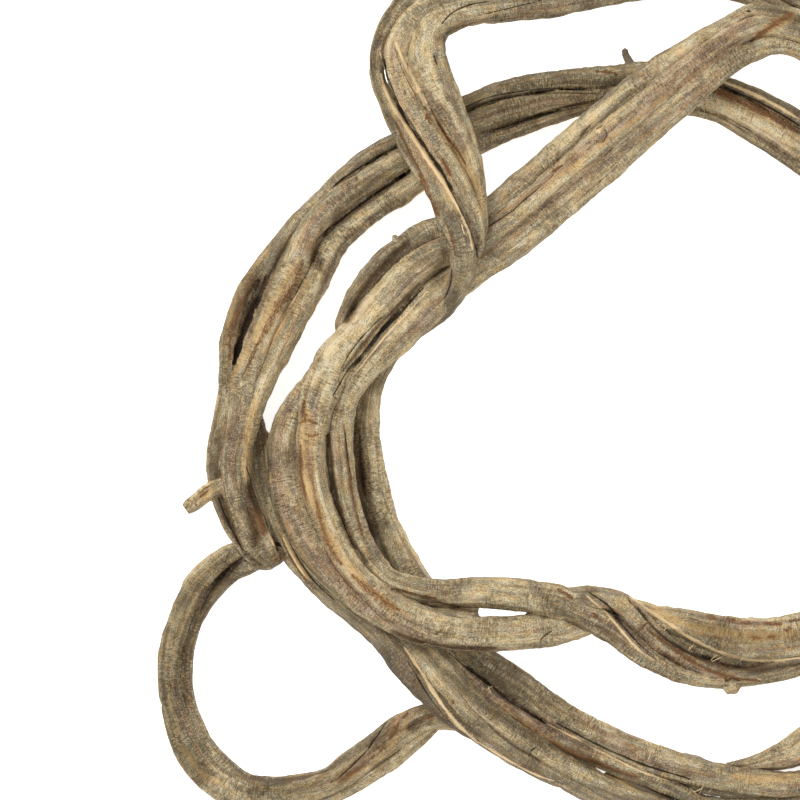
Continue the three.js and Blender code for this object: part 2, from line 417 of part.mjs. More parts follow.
const wreath = new THREE.Group();
wreath.name = "grapevine_wreath";
wreath.add(vineMesh("inner_vine", INNER_RIBS, [], INNER_BARK));
wreath.add(vineMesh("wrap_vine", WRAP_RIBS, [INNER_RIBS], WRAP_BARK));
wreath.add(vineMesh("arch_vine", archWithLoop, [INNER_RIBS, WRAP_RIBS], ARCH_BARK));
wreath.add(vineMesh("grey_vine", GREY_RIBS, [INNER_RIBS, WRAP_RIBS, archWithLoop], GREY_BARK));
wreath.position.set(-CENTRE_X, -CENTRE_Y, 0);

export default wreath;
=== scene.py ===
# A dried grapevine wreath: four long vines in ridged, cracked bark, with torn fibres at their splits.
# The tables and the names that end in _MM are in millimetres; everything else is in metres.

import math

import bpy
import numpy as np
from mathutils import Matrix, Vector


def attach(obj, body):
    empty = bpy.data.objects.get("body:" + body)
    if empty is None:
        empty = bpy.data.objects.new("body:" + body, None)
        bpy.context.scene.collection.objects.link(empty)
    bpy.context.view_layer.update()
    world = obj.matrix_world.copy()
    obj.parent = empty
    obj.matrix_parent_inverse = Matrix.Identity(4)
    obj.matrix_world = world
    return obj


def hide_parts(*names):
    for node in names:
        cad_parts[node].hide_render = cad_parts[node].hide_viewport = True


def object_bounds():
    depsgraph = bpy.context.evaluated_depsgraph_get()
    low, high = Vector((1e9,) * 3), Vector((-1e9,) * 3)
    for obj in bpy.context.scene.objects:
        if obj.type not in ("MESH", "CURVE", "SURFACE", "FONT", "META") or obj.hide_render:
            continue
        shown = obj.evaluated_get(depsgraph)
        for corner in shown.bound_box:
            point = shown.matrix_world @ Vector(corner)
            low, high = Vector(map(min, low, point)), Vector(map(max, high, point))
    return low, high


bl_info = {
    "name": "Grapevine Wreath",
    "version": (1, 0, 0),
    "blender": (4, 5, 0),
    "location": "View3D > Sidebar > Wreath",
    "description": "Grows the bark of a dried grapevine wreath and sets it on a pale floor",
    "category": "Add Mesh",
}

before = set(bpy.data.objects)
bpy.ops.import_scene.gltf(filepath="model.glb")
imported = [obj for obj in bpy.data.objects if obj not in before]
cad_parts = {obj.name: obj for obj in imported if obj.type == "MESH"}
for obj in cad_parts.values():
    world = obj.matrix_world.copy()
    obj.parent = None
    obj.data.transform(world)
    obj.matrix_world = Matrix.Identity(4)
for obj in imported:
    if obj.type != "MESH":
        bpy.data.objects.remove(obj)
CAD_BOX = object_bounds()

# A millimetre, a whole turn, and what is as small as nothing.
MM = 0.001
TURN = 2 * math.pi
TINY = 1e-7

# Where the tables' plane has the part's origin, and the stretch of that plane that the picture shows.
CENTRE_X_MM = -3.7
CENTRE_Y_MM = 2
VIEW_X_MM = (-300, 100)
VIEW_Y_MM = (-200, 200)
VIEW_EDGE_MM = 8

# How a rib is rolled: samples from row to row, fewest sections and sides, and how much finer its top is.
ROUTE_SAMPLES = 24
FEWEST_SECTIONS = 8
FEWEST_SIDES = 14
SIDES_PER_CELL = 0.74
FINER_TOP = 0.42

# A section is an oval with somewhat flatter faces. A rib thinner than THIN_RIB ends in a dome.
# A thicker one ends flat, with these openings of its last sections, from the end inwards.
# All of it stays inside the frame's box by BOX_MARGIN.
SECTION_POWER = 0.8
THIN_RIB = 0.0095
END_OPENINGS = (0, 0.86, 0.97)
BOX_MARGIN = 0.00002

# Waves along a rib: the range of their starts, how many make it wander, and how long they are.
WAVE_STARTS = (0, 6.28)
SWAY_COUNT = 3
SWAY_WAVES = (0.06, 0.24)
LUMP_WAVES = (0.015, 0.024, 0.037, 0.061)

# The cracks of a rib: how wide they are and how often they come and go, how clearly, in which part of
# its upper half they lie, from 0 to 1, and how far they wander.
CRACKS_PER_RIB = 4
CRACK_HALF_WIDTH = 0.0008
CRACK_WAVES = (0.05, 0.14)
CRACK_GAIN = 1.6
CRACK_SIDES = (0.08, 0.92)
CRACK_SWAY = 0.35

# The relief of a rib: its corners, each number of them with its share, how far they wander and how high
# they stand, the middle of its swellings, and its grain, smoothed so often along and around it.
# Ribs thinner than FULL_RELIEF have less of it, down to LEAST_RELIEF.
CORNERS = ((5, 0.65), (11, 0.35))
CORNER_SWAY = 0.5
CORNER_HEIGHT = 2.4
LUMP_MIDDLE = 0.3
LONG_GRAIN = (10, 1)
SHORT_GRAIN = (1, 1)
SHORT_SHARE = 0.7
FULL_RELIEF = 0.011
LEAST_RELIEF = 0.15

# The tone map of a rib: how far its tone wanders, and how much its corners and grain lighten it.
TONE_SWAY = 0.16
CREST_LIGHT = 0.55
STRAND_LIGHT = 0.12
FLAT_LIGHT = 0.2

# Valleys: how fast their smoothing grows with their sharpness, less a start, and how far it spreads.
VALLEY_GAIN = 5
VALLEY_START = 0.4
VALLEY_SPREAD = 0.75
VALLEY_RINGS = 3
VALLEY_LEVELS = 8

# Marks: samples from point to point, what counts as facing up, and how far they reach, in widths. Their
# rims are frayed, their ends thinner, and they waver slowly and quickly.
MARK_SAMPLES = 5
FACING_UP = 0.05
MARK_REACH = 2.5
FRAYED = (0.8, 1.25)
END_SHARE = 0.35
MARK_STARTS = (0, 6)
WAVER = 0.3
SLOW_WAVER = 0.6
QUICK_WAVER = 0.4
QUICKER = 2.3

# A mark thinner than FINE_MARK gets finer faces, to a share of its width and a rim beyond that.
FINE_MARK = 0.0032
FINE_SHARE = 0.6
FINE_RIM = 0.0005

# A torn fibre: its radius, how deep its ends stick in the bark, how high it bows and how far it swings.
FIBRE_RADIUS = (0.00016, 0.00024)
FIBRE_ROOT = 0.0003
FIBRE_LIFT = 0.0012
FIBRE_SWING = 0.12
ABOVE_ALL = 0.2

# The numbers that start the draws of the marks and of the fibres; the ribs have their own numbers.
MARKS_DRAW = 100
FIBRES_DRAW = 200

# The suns: height above the floor, side counted from +X and softness, in degrees.
KEY_SUN = (52, 125, 30)
FILL_SUN = (48, -50, 60)

# The camera's sensor, and the height in the wreath at which the picture is as wide as it should be.
SENSOR_MM = 36
PICTURE_HEIGHT = 0.025

# Noises on the bark's flat map, bent a little: scale along a rib and around it, detail and roughness.
SKIN_NOISES = {
    "broad": (8, 190, 2, 0.5), "streaks": (30, 560, 3, 0.65), "fibres": (300, 2400, 2, 0.6),
    "warmth": (110, 260, 3, 0.6), "worn": (22, 210, 2, 0.55), "violet": (16, 150, 3, 0.55),
    "rust": (260, 800, 3, 0.75), "scars": (480, 1200, 3, 0.75), "torn": (520, 900, 3, 0.8),
}

# Noises in a vine's own space: scale, detail and roughness.
SPACE_NOISES = {
    "grit": (2100, 1, 0.6), "specks": (1500, 2, 0.75), "mottle": (330, 3, 0.7), "patches": (55, 3, 0.6),
    "ring_place": (42, 2, 0.55), "crackle_place": (80, 3, 0.55), "rust_place": (34, 2, 0.55),
}

# The same four numbers for the cross rings and for the bend of the map, how far it is bent, and the
# scale along and around of the cells of the crackle.
RING_NOISE = (1250, 150, 2, 0.5)
BEND_NOISE = (45, 45, 2, 0.55)
BEND = 0.005
CRACKLE_CELLS = (520, 800)

# Routes of the ribs, each row the middle of a section and its size: x, y, z, width, depth.
# The arch goes round the outside of the ring from its tucked end, over the top and down the left.
ARCH_RIBS = {
    "rim": [
        (100, -181, 9, 3.5, 9), (118, -172, 10, 6.5, 13), (135.5, -161, 10, 8.5, 14),
        (157.5, -131, 10, 8, 14), (174, -101, 10, 8, 14), (186, -56.5, 10, 8, 14),
        (189.5, -10, 9.5, 8, 14), (183.5, 36, 9.5, 8, 14), (165, 78.5, 10, 8, 14),
        (136.5, 112.5, 10.5, 8, 14), (98.5, 140.5, 11, 9.5, 14), (78.5, 152, 11.5, 8, 13),
        (61, 159.5, 12, 6, 12), (40, 165, 12, 7.5, 13), (20, 164, 12, 11, 15), (0, 161, 12, 12, 16),
        (-20, 160, 12.5, 10, 16), (-50, 154.5, 12.5, 10, 16), (-65, 149, 12, 8.5, 15),
        (-85, 139.5, 12, 7.5, 14), (-103.5, 129, 12, 8, 15), (-115.5, 123, 13, 7.5, 15),
        (-127, 113.5, 13, 7.5, 15), (-137.5, 103.5, 13, 7, 16), (-150, 91, 14, 8, 16),
        (-159.5, 77.5, 15, 8, 16), (-166.5, 62.5, 17, 6.5, 14), (-171.5, 49, 19, 4, 10),
    ],
    "face": [
        (71, -184, 9.5, 3, 9), (82, -182, 9.8, 7, 13), (103, -175.5, 10.3, 14, 20),
        (129, -154, 10.5, 15, 21), (150, -125, 10.5, 15, 21), (165, -96, 10.5, 15, 21),
        (177, -54, 10.5, 15, 21), (180.5, -10, 10.2, 15, 21), (174, 33.5, 10.5, 15, 21),
        (156.5, 73.5, 10.5, 15, 21), (130, 106.5, 11, 15, 21), (98.5, 128, 11.5, 14, 21),
        (78.5, 140.5, 12, 13.5, 21), (58, 150.5, 12, 14.5, 22), (35, 154, 12, 14, 22),
        (15, 153, 12, 10, 20), (0, 152, 12, 8, 18), (-19, 150, 12, 10.5, 20), (-39.5, 146, 12, 13, 21),
        (-59, 140, 12, 14, 22), (-80, 131, 12, 14, 22), (-106, 116, 13.5, 13, 22),
        (-127.5, 102, 14, 14.5, 22), (-143, 88, 15, 15.5, 22), (-151.5, 71.5, 16.5, 16, 22),
        (-160, 55, 18, 16, 22), (-166.5, 40, 20.5, 15.5, 21), (-172, 26.5, 23, 15, 21),
        (-176.5, 14, 25.5, 15, 20), (-180, 0, 28, 15, 20), (-182.5, -15, 27.5, 13.5, 20),
        (-184.5, -30, 26, 13, 20), (-183.5, -45, 25.5, 13, 20), (-180, -57.5, 25.5, 13, 20),
        (-175.5, -69, 26, 13, 20), (-170, -77, 25.5, 12, 20), (-165.5, -81, 24, 7, 14),
    ],
    "inner": [
        (63.5, -183, 9, 2, 8), (79, -180.5, 9.8, 6, 13), (100, -169.5, 10.3, 8.5, 14),
        (122.5, -146.5, 10.5, 8, 14), (142, -118.5, 10.5, 8, 14), (156, -90, 10.5, 8, 14),
        (168.5, -51.5, 10.5, 8, 14), (172, -10, 10, 8, 14), (165.5, 31, 10.5, 8, 14),
        (148.5, 69, 10.5, 8, 14), (124, 100, 10.5, 8, 14), (98.5, 118, 10.5, 6.5, 14),
        (76, 132, 10.5, 5.5, 13), (55, 143.5, 11, 5.5, 13), (30, 147, 11, 6, 14),
        (10, 147, 11, 5.5, 14), (-1.5, 147, 11, 5, 14), (-20, 142.5, 11, 6.5, 15),
        (-39, 136.5, 11, 7.5, 15), (-60, 128.5, 11, 9.5, 16), (-77.5, 120, 11.5, 10.5, 17),
        (-98, 106, 12, 13, 18), (-114.5, 96, 12, 13.5, 18), (-127.5, 85, 12.5, 14, 19),
        (-136, 73.5, 13, 14, 19), (-141.5, 61.5, 14.5, 14, 19), (-148.5, 49, 16.5, 13.5, 19),
        (-155.5, 35, 19.5, 13, 19), (-162, 22, 22.5, 12.5, 18), (-168, 10, 25, 11.5, 18),
        (-173.5, -2.5, 27, 11.5, 18), (-177, -15, 27, 10.5, 17), (-179.5, -27.5, 25.5, 10, 17),
        (-179.5, -40, 25, 10.5, 17), (-176.5, -52.5, 25, 11.5, 17), (-171.5, -65, 25.5, 12, 17),
        (-167, -74.5, 25, 10, 17), (-164, -80, 24, 5.5, 12),
    ],
    "split": [
        (-150, 94, 13, 4, 9), (-157.5, 83.5, 14, 6.5, 12), (-167, 70.5, 15, 7.5, 14),
        (-176, 57.5, 16, 8.5, 15), (-181.5, 44, 18, 9, 16), (-185.5, 30, 20.5, 9, 16),
        (-186.5, 17.5, 23.5, 8.5, 16), (-186.5, 5, 26.5, 9, 16), (-188.5, -6, 27, 9, 16),
        (-191, -20, 26, 9, 16), (-192.5, -34, 25, 8.5, 16), (-191, -48, 24.5, 7, 14),
        (-187, -59, 24.5, 6.5, 14), (-181.5, -68, 24.5, 7, 15), (-175, -75.5, 24.5, 9, 16),
        (-169, -81, 24, 7, 13),
    ],
    # The back rib fills the shadowed gap behind the split; its dark tone is painted shade.
    "back": [
        (-157, 80, 12, 5, 10), (-168.5, 59, 12, 10, 14), (-176.5, 39, 15, 10, 14),
        (-181, 21, 18.5, 8.5, 13), (-182, 7, 21, 4.5, 9),
    ],
    "stub": [
        (-187, -41.5, 30, 9.5, 12.5), (-194.5, -45, 26.5, 9.5, 12.5), (-200.5, -49.5, 25, 7.8, 10),
        (-205.8, -53.8, 25, 7.3, 9.4), (-207.2, -54.8, 25, 3.4, 5),
    ],
    "twig": [
        (18, 163, 14, 5, 8), (15, 169, 14, 4, 6), (13, 173, 14, 2.9, 4.5), (12.5, 176.5, 14, 2.3, 3.5),
    ],
    "knuckle": [
        (-157, -76.5, 19, 5, 9), (-166, -78.5, 17, 13, 19), (-176, -78, 15, 15, 18),
        (-184, -81, 10, 12, 15),
    ],
    "web": [
        (-125, 112, 10, 4, 10), (-117, 115.5, 10, 6.5, 13), (-108, 120, 10, 6.5, 13),
        (-99, 125, 9.5, 4.5, 10),
    ],
    "web_top": [
        (-88, 133.5, 9.5, 4.5, 10), (-80, 135.5, 9.5, 6.5, 13), (-71, 139, 9.5, 5, 11),
    ],
}

# The arch folds back under itself at its lower left and goes on as the small loop.
LOOP_RIBS = {
    "main": [
        (-167, -78, 12, 8, 14), (-175, -77.5, 9.5, 11, 16), (-184, -77.5, 8.5, 11.5, 16),
        (-193.5, -84, 8.5, 12, 17), (-203, -94.5, 8.5, 12.5, 17), (-210, -110, 8.5, 12.5, 17),
        (-215, -127.5, 8.3, 12, 17), (-215, -145, 8.1, 12, 17), (-209.5, -162.5, 8.3, 13, 17),
        (-202, -177, 8.5, 14, 17), (-192.5, -188, 8.5, 14, 17), (-179, -195.5, 8.5, 14, 17),
        (-162.5, -198, 8.1, 13.5, 17), (-146, -196, 8.5, 13, 17), (-132, -190.5, 8.5, 13, 17),
        (-121, -183, 8.5, 12.5, 17), (-110, -175, 8.5, 12.5, 17), (-98, -166.5, 8.5, 12.5, 17),
        (-86, -160, 8.5, 12, 16), (-72.5, -160.5, 8.5, 10, 15), (-59.5, -166.5, 8.5, 7.5, 13),
        (-46, -175.5, 8, 4.5, 9),
    ],
    "inner": [
        (-169, -81.5, 9, 6, 11), (-176, -83.5, 8, 8, 13), (-184, -87, 7.5, 8, 13),
        (-192, -95, 7.5, 7.5, 13), (-198.5, -104, 7.5, 7, 13), (-202, -111, 7.5, 6.5, 13),
        (-205.5, -122.5, 7.5, 6, 13), (-207, -134, 7.5, 5.5, 13), (-206.5, -146, 7.5, 6, 13),
        (-204, -157, 7.5, 6.5, 13), (-197.5, -171.5, 7.5, 7.5, 13), (-188, -182.5, 7.5, 8, 13),
        (-177, -191, 7.5, 7.5, 13), (-162.5, -192.5, 7.5, 7.5, 13), (-148.5, -191, 7.5, 7.5, 13),
        (-136.5, -188, 7.5, 7.5, 13), (-125.5, -179.5, 7.5, 7.5, 13), (-114.5, -172, 7.5, 7.5, 13),
        (-104, -163.5, 7.5, 7.5, 13), (-94, -158, 7.5, 7.5, 13), (-83, -154, 7.5, 5, 10),
    ],
    "outer": [
        (-218.5, -153, 7.5, 3.5, 9), (-212.5, -170.5, 7.3, 6.5, 12), (-205, -184, 7.3, 7.5, 13),
        (-194, -195, 7.3, 7.5, 13), (-180, -201.5, 7.3, 7.5, 13), (-162.5, -204, 7.3, 7, 13),
        (-144, -201.5, 7.3, 7, 13), (-128, -196, 7.3, 7.5, 13), (-114.5, -188, 7.3, 7.5, 13),
        (-102.5, -180.5, 7.3, 7.5, 13), (-91.5, -171.5, 7.3, 7, 13), (-81.5, -163.5, 7.3, 4.5, 10),
    ],
}

# The inner vine comes down the wide slant, round the inside of the ring and back to the right.
INNER_RIBS = {
    "edge": [
        (160.5, -80, 8.5, 7, 13), (165.5, -56, 9.5, 8, 13), (165, -26, 10.5, 8, 13),
        (163.5, 2.5, 15, 8, 13), (169, 36, 25, 8, 14), (175, 75, 33, 8, 14), (170, 117.5, 34, 8.5, 14),
        (154.5, 152.5, 34, 9, 15), (129, 180, 34, 9, 15), (100, 190, 34, 9, 15),
        (88, 192.5, 34, 9, 15), (76.5, 193.5, 34, 9, 15), (66.5, 188.5, 34, 9, 15),
        (54.5, 181.5, 33.5, 10, 15), (27, 164.5, 33, 11, 16), (-4.5, 138.5, 31, 11.5, 16),
        (-32, 115, 28, 11.5, 16), (-52, 97.5, 26, 11.5, 16), (-67.5, 88, 25, 11.5, 16),
        (-85, 84.5, 26, 12.5, 16), (-96, 78, 28, 12, 16), (-106, 70.5, 29, 12, 16),
        (-114.5, 61.5, 29.5, 11.5, 16), (-121.5, 52, 29.5, 10.5, 16), (-127, 43.5, 29.5, 7.5, 14),
        (-131, 34.5, 30, 4.5, 10),
    ],
    "middle": [
        (153.5, -81, 9.5, 8, 15), (157.5, -56, 9.8, 10, 17), (157, -26, 11.5, 11, 18),
        (156, 4, 16, 11.5, 18), (161.5, 39, 26, 12, 20), (166.5, 76.5, 34.5, 12, 20),
        (161.5, 114, 35, 12, 20), (146.5, 146.5, 35, 12, 20), (124, 172, 35, 11.5, 20),
        (100, 182.5, 35, 11, 20), (90, 185, 35, 11, 20), (80, 186.5, 35, 11.5, 20),
        (69, 182.5, 35, 13, 20), (58, 175.5, 34.5, 14, 21), (32.5, 156.5, 34, 15, 22),
        (2, 130, 32, 15.5, 22), (-25.5, 106.5, 29, 15.5, 22), (-45.5, 89, 27, 15.5, 22),
        (-65, 78, 26, 16.5, 22), (-83, 71.5, 27.5, 17, 22), (-94.5, 63.5, 29.5, 18, 22),
        (-105.5, 52, 31, 19, 22), (-114, 42.5, 31.5, 19, 22), (-122.5, 31, 32, 19.5, 22),
        (-132, 19.5, 32.5, 20, 22), (-137, 9.5, 33, 19.5, 22), (-141.5, -1, 33, 18, 22),
        (-143.5, -13, 33, 16.5, 21), (-144.5, -25, 33, 15, 21), (-142.5, -41, 33, 15, 21),
        (-139.5, -53, 33.5, 14, 21), (-135.5, -63.5, 34.5, 13.5, 21), (-130, -75.5, 36, 13.5, 21),
        (-122.5, -87, 38, 13.5, 21), (-111, -97.5, 39.5, 14.5, 20), (-98, -107, 40, 16.5, 20),
        (-80, -114, 39, 18.5, 21), (-60, -116.5, 35, 17.5, 21), (-40, -116, 31, 16.5, 21),
        (-20, -114, 26, 16, 20), (-5, -109.5, 22, 15.5, 19), (11, -106, 20, 14, 18),
        (27.5, -109.5, 20.5, 13.5, 18), (41, -111.5, 21.5, 14.5, 19), (55, -115.5, 21.5, 17.5, 20),
        (75, -119.5, 20.5, 21, 20), (100, -118, 19, 23, 21), (125, -110, 22, 20, 21),
        (148.5, -91.5, 30, 18, 21), (167.5, -66, 36, 17, 21), (183.5, -36, 37, 16, 20),
        (195.5, -7, 35.5, 14, 18), (202.5, 19, 34, 10, 14), (205, 39, 33, 5, 9),
    ],
    "open": [
        (147.5, -82, 8.5, 6.5, 12), (150, -56, 9.5, 8, 13), (149.5, -26, 10.5, 8, 13),
        (148.5, 5, 15, 8.5, 13), (153.5, 41, 25, 8.5, 14), (158.5, 78, 34, 9, 14),
        (153.5, 111, 34.5, 9, 15), (140, 140, 34.5, 9, 15), (120.5, 163, 34.5, 9.5, 15),
        (100, 175, 34.5, 10, 16), (89, 178, 34.5, 11, 16), (76, 175, 34.5, 12, 16),
        (64.5, 169, 34, 13, 17), (39.5, 149, 33.5, 15, 18), (9, 122, 31.5, 15.5, 18),
        (-18.5, 98.5, 28.5, 15.5, 18), (-38.5, 81.5, 26, 16, 18), (-57, 69, 24.5, 16.5, 19),
        (-72.5, 59, 26, 18, 20), (-87, 47, 29, 19.5, 20), (-99, 34, 31.5, 18, 20),
        (-110, 23.5, 31.5, 15.5, 19), (-120.5, 11.5, 30, 12, 18), (-127, 0, 28.5, 11.5, 17),
        (-130, -14, 27.5, 13.5, 17), (-130, -27.5, 27, 14, 17), (-128.5, -42.5, 27, 13.5, 17),
        (-125, -56.5, 27, 13, 17), (-120.5, -69, 27.5, 13, 17), (-114.5, -80.5, 29, 13, 17),
        (-106, -89.5, 31, 12, 17), (-95, -94, 32, 12, 17), (-80, -96.5, 32, 14, 18),
        (-60, -96, 31.5, 15.5, 19), (-40, -97.5, 31.5, 16.5, 19), (-22, -100.5, 32, 17, 19),
        (-7.5, -105, 31.5, 13, 16), (0, -108, 31, 8, 12),
    ],
    "violet": [
        (-135, 25, 26, 7, 12), (-142.5, 9.5, 28.5, 12, 15), (-151.5, -3, 29.5, 13.5, 17),
        (-157.5, -16.5, 30, 15, 18), (-158.5, -30, 30, 15.5, 18), (-156.5, -45, 30, 16.5, 18),
        (-151.5, -60, 30.5, 16.5, 18), (-144, -74, 31.5, 16, 18), (-134.5, -86, 33, 14.5, 18),
        (-123, -97, 34.5, 13, 17), (-110.5, -107, 35.5, 10.5, 15), (-98.5, -115, 36, 8, 12),
        (-87.5, -120.5, 36, 4.5, 9),
    ],
    "twist_low": [
        (-22, -103.5, 31, 10, 15), (-8.5, -107, 32, 13, 17), (5, -114, 33, 14.5, 18),
        (16.5, -123, 32, 13, 17), (31, -133, 29, 9.5, 16), (44, -138, 26, 8, 15),
        (60, -140.5, 22.5, 7, 14), (80, -139, 19.5, 6.5, 13), (100, -134.5, 18.5, 7, 13),
        (127.5, -125.5, 21, 8, 13), (154, -107, 30, 8.5, 14), (175.5, -80, 36, 8.5, 14),
        (193, -47.5, 36.5, 7.5, 13), (205, -16, 36, 4.5, 9),
    ],
    "twist_high": [
        (-20, -98.5, 31.5, 9, 14), (-5, -99, 33, 11, 16), (8.5, -101, 33.5, 11, 16),
        (16.5, -107.5, 33, 11.5, 16), (24, -114.5, 32, 11, 16), (32.5, -122.5, 30, 10.5, 16),
        (44, -129.5, 27, 10, 15), (57, -135.5, 24, 8.5, 14), (71, -137.5, 21.5, 7.5, 13),
        (85, -135.5, 20, 8, 13), (100, -130, 19, 8, 13), (125, -120.5, 21.5, 8, 13),
        (150, -102.5, 30, 8, 13),
    ],
    "channel": [
        (12.5, -105, 23, 7, 12), (27.5, -116, 21, 12, 12), (41, -123, 19, 14, 12),
        (53.5, -128.5, 17.5, 14, 12), (70, -132.5, 16.5, 12, 12), (92.5, -129.5, 16, 10, 12),
        (110, -124, 17, 6, 10),
    ],
    "knob": [
        (65, -139.5, 24, 9.4, 10.8), (66, -143.5, 22, 9.4, 10.8), (66.5, -146.2, 21, 7.2, 8.4),
    ],
    "bud": [
        (-101, 78.5, 33, 4.8, 6.4), (-102.5, 81, 33.5, 2.8, 3.2), (-103.3, 82.5, 33.8, 1.8, 2.4),
    ],
    "web": [
        (-86, -104, 29, 4, 10), (-77, -105, 29.5, 6, 13), (-67, -106, 29.5, 6.5, 13),
        (-60.5, -106.5, 29.3, 4.5, 10),
    ],
    "web_right": [
        (-37.5, -107.8, 28.5, 1.5, 5), (-31.5, -107.2, 29.5, 4.5, 11), (-24, -107, 29.5, 4.5, 11),
    ],
}

# The wrap goes over the top, over the arch and the slant, then under the ring and along the bottom.
WRAP_RIBS = {
    "left": [
        (206.5, 6, 8.5, 7, 13), (208, 37.5, 9.5, 8.5, 14), (200.5, 76, 9.8, 8.5, 14),
        (184, 114, 10, 8.5, 14), (163.5, 150, 10, 8.5, 14), (136.5, 182, 10, 9, 15),
        (110, 206, 10, 9.5, 15), (80, 221.5, 11, 10, 15), (45, 229, 12.5, 10.5, 16),
        (2.5, 228, 17, 11.5, 16), (-30, 219, 22, 12, 17), (-59, 215, 26, 12, 17),
        (-81.5, 209.5, 29, 11, 17), (-97, 199.5, 31, 10, 16), (-107, 186, 32, 8.5, 15),
        (-111.5, 172.5, 32.5, 7, 14), (-111, 160, 33, 7, 14), (-106.5, 148.5, 33.5, 8.5, 15),
        (-100.5, 137.5, 34, 10.5, 16), (-93.5, 126, 35, 12.5, 17), (-85.5, 114, 37.5, 13.5, 18),
        (-79, 102.5, 42, 14, 19), (-73.5, 90, 46, 14.5, 20), (-69, 78.5, 47, 13.5, 20),
        (-68.5, 68, 42.5, 12.5, 19), (-71, 58, 35, 11.5, 18), (-76.5, 49, 26.5, 11, 17),
        (-84, 42, 19, 11, 17), (-93.5, 35.5, 13, 11, 17), (-103, 27, 10, 11, 17),
        (-110, 16, 9.3, 10.5, 17), (-114, 4.5, 9.3, 10, 17), (-115.5, -7, 9.3, 10.5, 17),
        (-115, -20, 9.3, 11, 17), (-112.5, -40, 9.3, 11.5, 17), (-110, -52.5, 9.5, 12.5, 18),
        (-104.5, -68.5, 10, 14, 19), (-98, -82.5, 10.5, 15.5, 20), (-88, -99.5, 11.5, 17.5, 20),
        (-72.5, -119, 12.5, 17, 20), (-55, -133.5, 13, 15, 20), (-40, -143.5, 13, 15, 20),
        (-20, -158, 12.5, 15, 20), (0, -169, 12, 15, 20), (20, -177.5, 11.5, 14.5, 20),
        (40, -184, 11, 15, 20), (60, -189, 11, 13.5, 20), (80, -191.5, 11, 13.5, 20),
        (100, -192.5, 10.5, 13, 20), (125, -184, 10.5, 12.5, 20), (150, -165, 10.5, 12.5, 20),
        (170, -140, 10.5, 12, 19), (183, -110, 10.5, 10.5, 18), (188, -83, 10, 8.5, 16),
    ],
    "middle": [
        (199.5, 4, 10, 9, 16), (200.5, 37.5, 10.8, 11, 19), (192.5, 72, 11, 11, 20),
        (176.5, 109, 11, 11.5, 20), (156, 144, 11, 11.5, 20), (130.5, 175, 11, 12, 20),
        (106, 197.5, 11, 12.5, 20), (78.5, 212, 12, 13, 20), (45, 219, 14, 13, 20),
        (0, 218, 18.5, 13.5, 20), (-30, 208.5, 24, 13.5, 20), (-56, 205, 28, 13.5, 20),
        (-77, 200.5, 31, 13, 20), (-93, 191, 34, 13, 20), (-101.5, 177, 35, 12.5, 19),
        (-101, 162.5, 35.5, 12, 18), (-95, 150, 36, 14, 19), (-88.5, 139, 36.5, 12.5, 19),
        (-82, 127.5, 37, 12, 19), (-75.5, 117.5, 39, 11.5, 18), (-70, 107.5, 42, 11, 17),
        (-65, 97.5, 44, 9.5, 16), (-61.5, 87.5, 44, 7.5, 14), (-60.5, 78.5, 42, 5.5, 11),
        (-62, 71, 39, 3.5, 8),
    ],
    "right": [
        (193, 5, 9, 7, 13), (193, 36, 10, 8.5, 15), (185, 68, 10, 8.5, 15), (169, 104, 10, 8.5, 15),
        (148.5, 138, 10, 8.5, 15), (124, 167.5, 10, 9, 15), (101.5, 189, 10, 9, 15),
        (76.5, 202.5, 11, 9.5, 16), (45, 208.5, 13.5, 11, 16), (2.5, 204.5, 17.5, 15, 18),
        (-22, 199.5, 22.5, 15.5, 19), (-46, 197, 27, 15, 20), (-67, 194.5, 30.5, 15.5, 20),
        (-82, 188.5, 33, 18, 21), (-88, 177, 34, 21.5, 21), (-86, 165, 34.5, 21.5, 21),
        (-80.5, 152.5, 35, 20, 21), (-74, 141, 35, 15.5, 20), (-69, 130, 35, 13.5, 19),
        (-65, 120, 36, 11.5, 18), (-62, 110, 38, 8.5, 16), (-60, 100, 40, 6.5, 14),
        (-58.5, 90.5, 40, 5, 12), (-58, 82.5, 39, 3.5, 9),
    ],
    "deep": [
        (-117, 8, 7.5, 6, 10), (-121, -5, 8, 8, 13), (-122.5, -20, 8, 7.5, 13),
        (-121, -40, 8, 7.5, 13), (-117, -55, 8, 8.5, 14), (-112, -70, 8.5, 9.5, 15),
        (-105.5, -84, 9, 10.5, 16), (-97.5, -96, 10, 11.5, 17), (-86.5, -112, 11.5, 11.5, 18),
        (-75, -128.5, 13, 10, 18), (-60, -144.5, 14, 9.5, 18), (-40, -158, 14, 9.5, 18),
        (-20, -171, 13, 9.5, 18), (0, -179.5, 12, 10, 17), (20, -187.5, 10.5, 10.5, 16),
        (35, -194, 9.5, 9.5, 15), (52.5, -202, 8.5, 7.5, 13), (76, -203, 8, 8, 13),
        (100, -199.5, 8, 8.5, 13), (125, -190, 8, 8.5, 13), (152.5, -170.5, 8, 8, 12),
        (173.5, -144, 8, 6, 10),
    ],
    "web": [
        (42, -191, 9, 3, 7), (50, -194, 9, 5.5, 10), (65, -196.5, 9, 6, 11), (81, -199, 8.5, 4.5, 9),
    ],
}

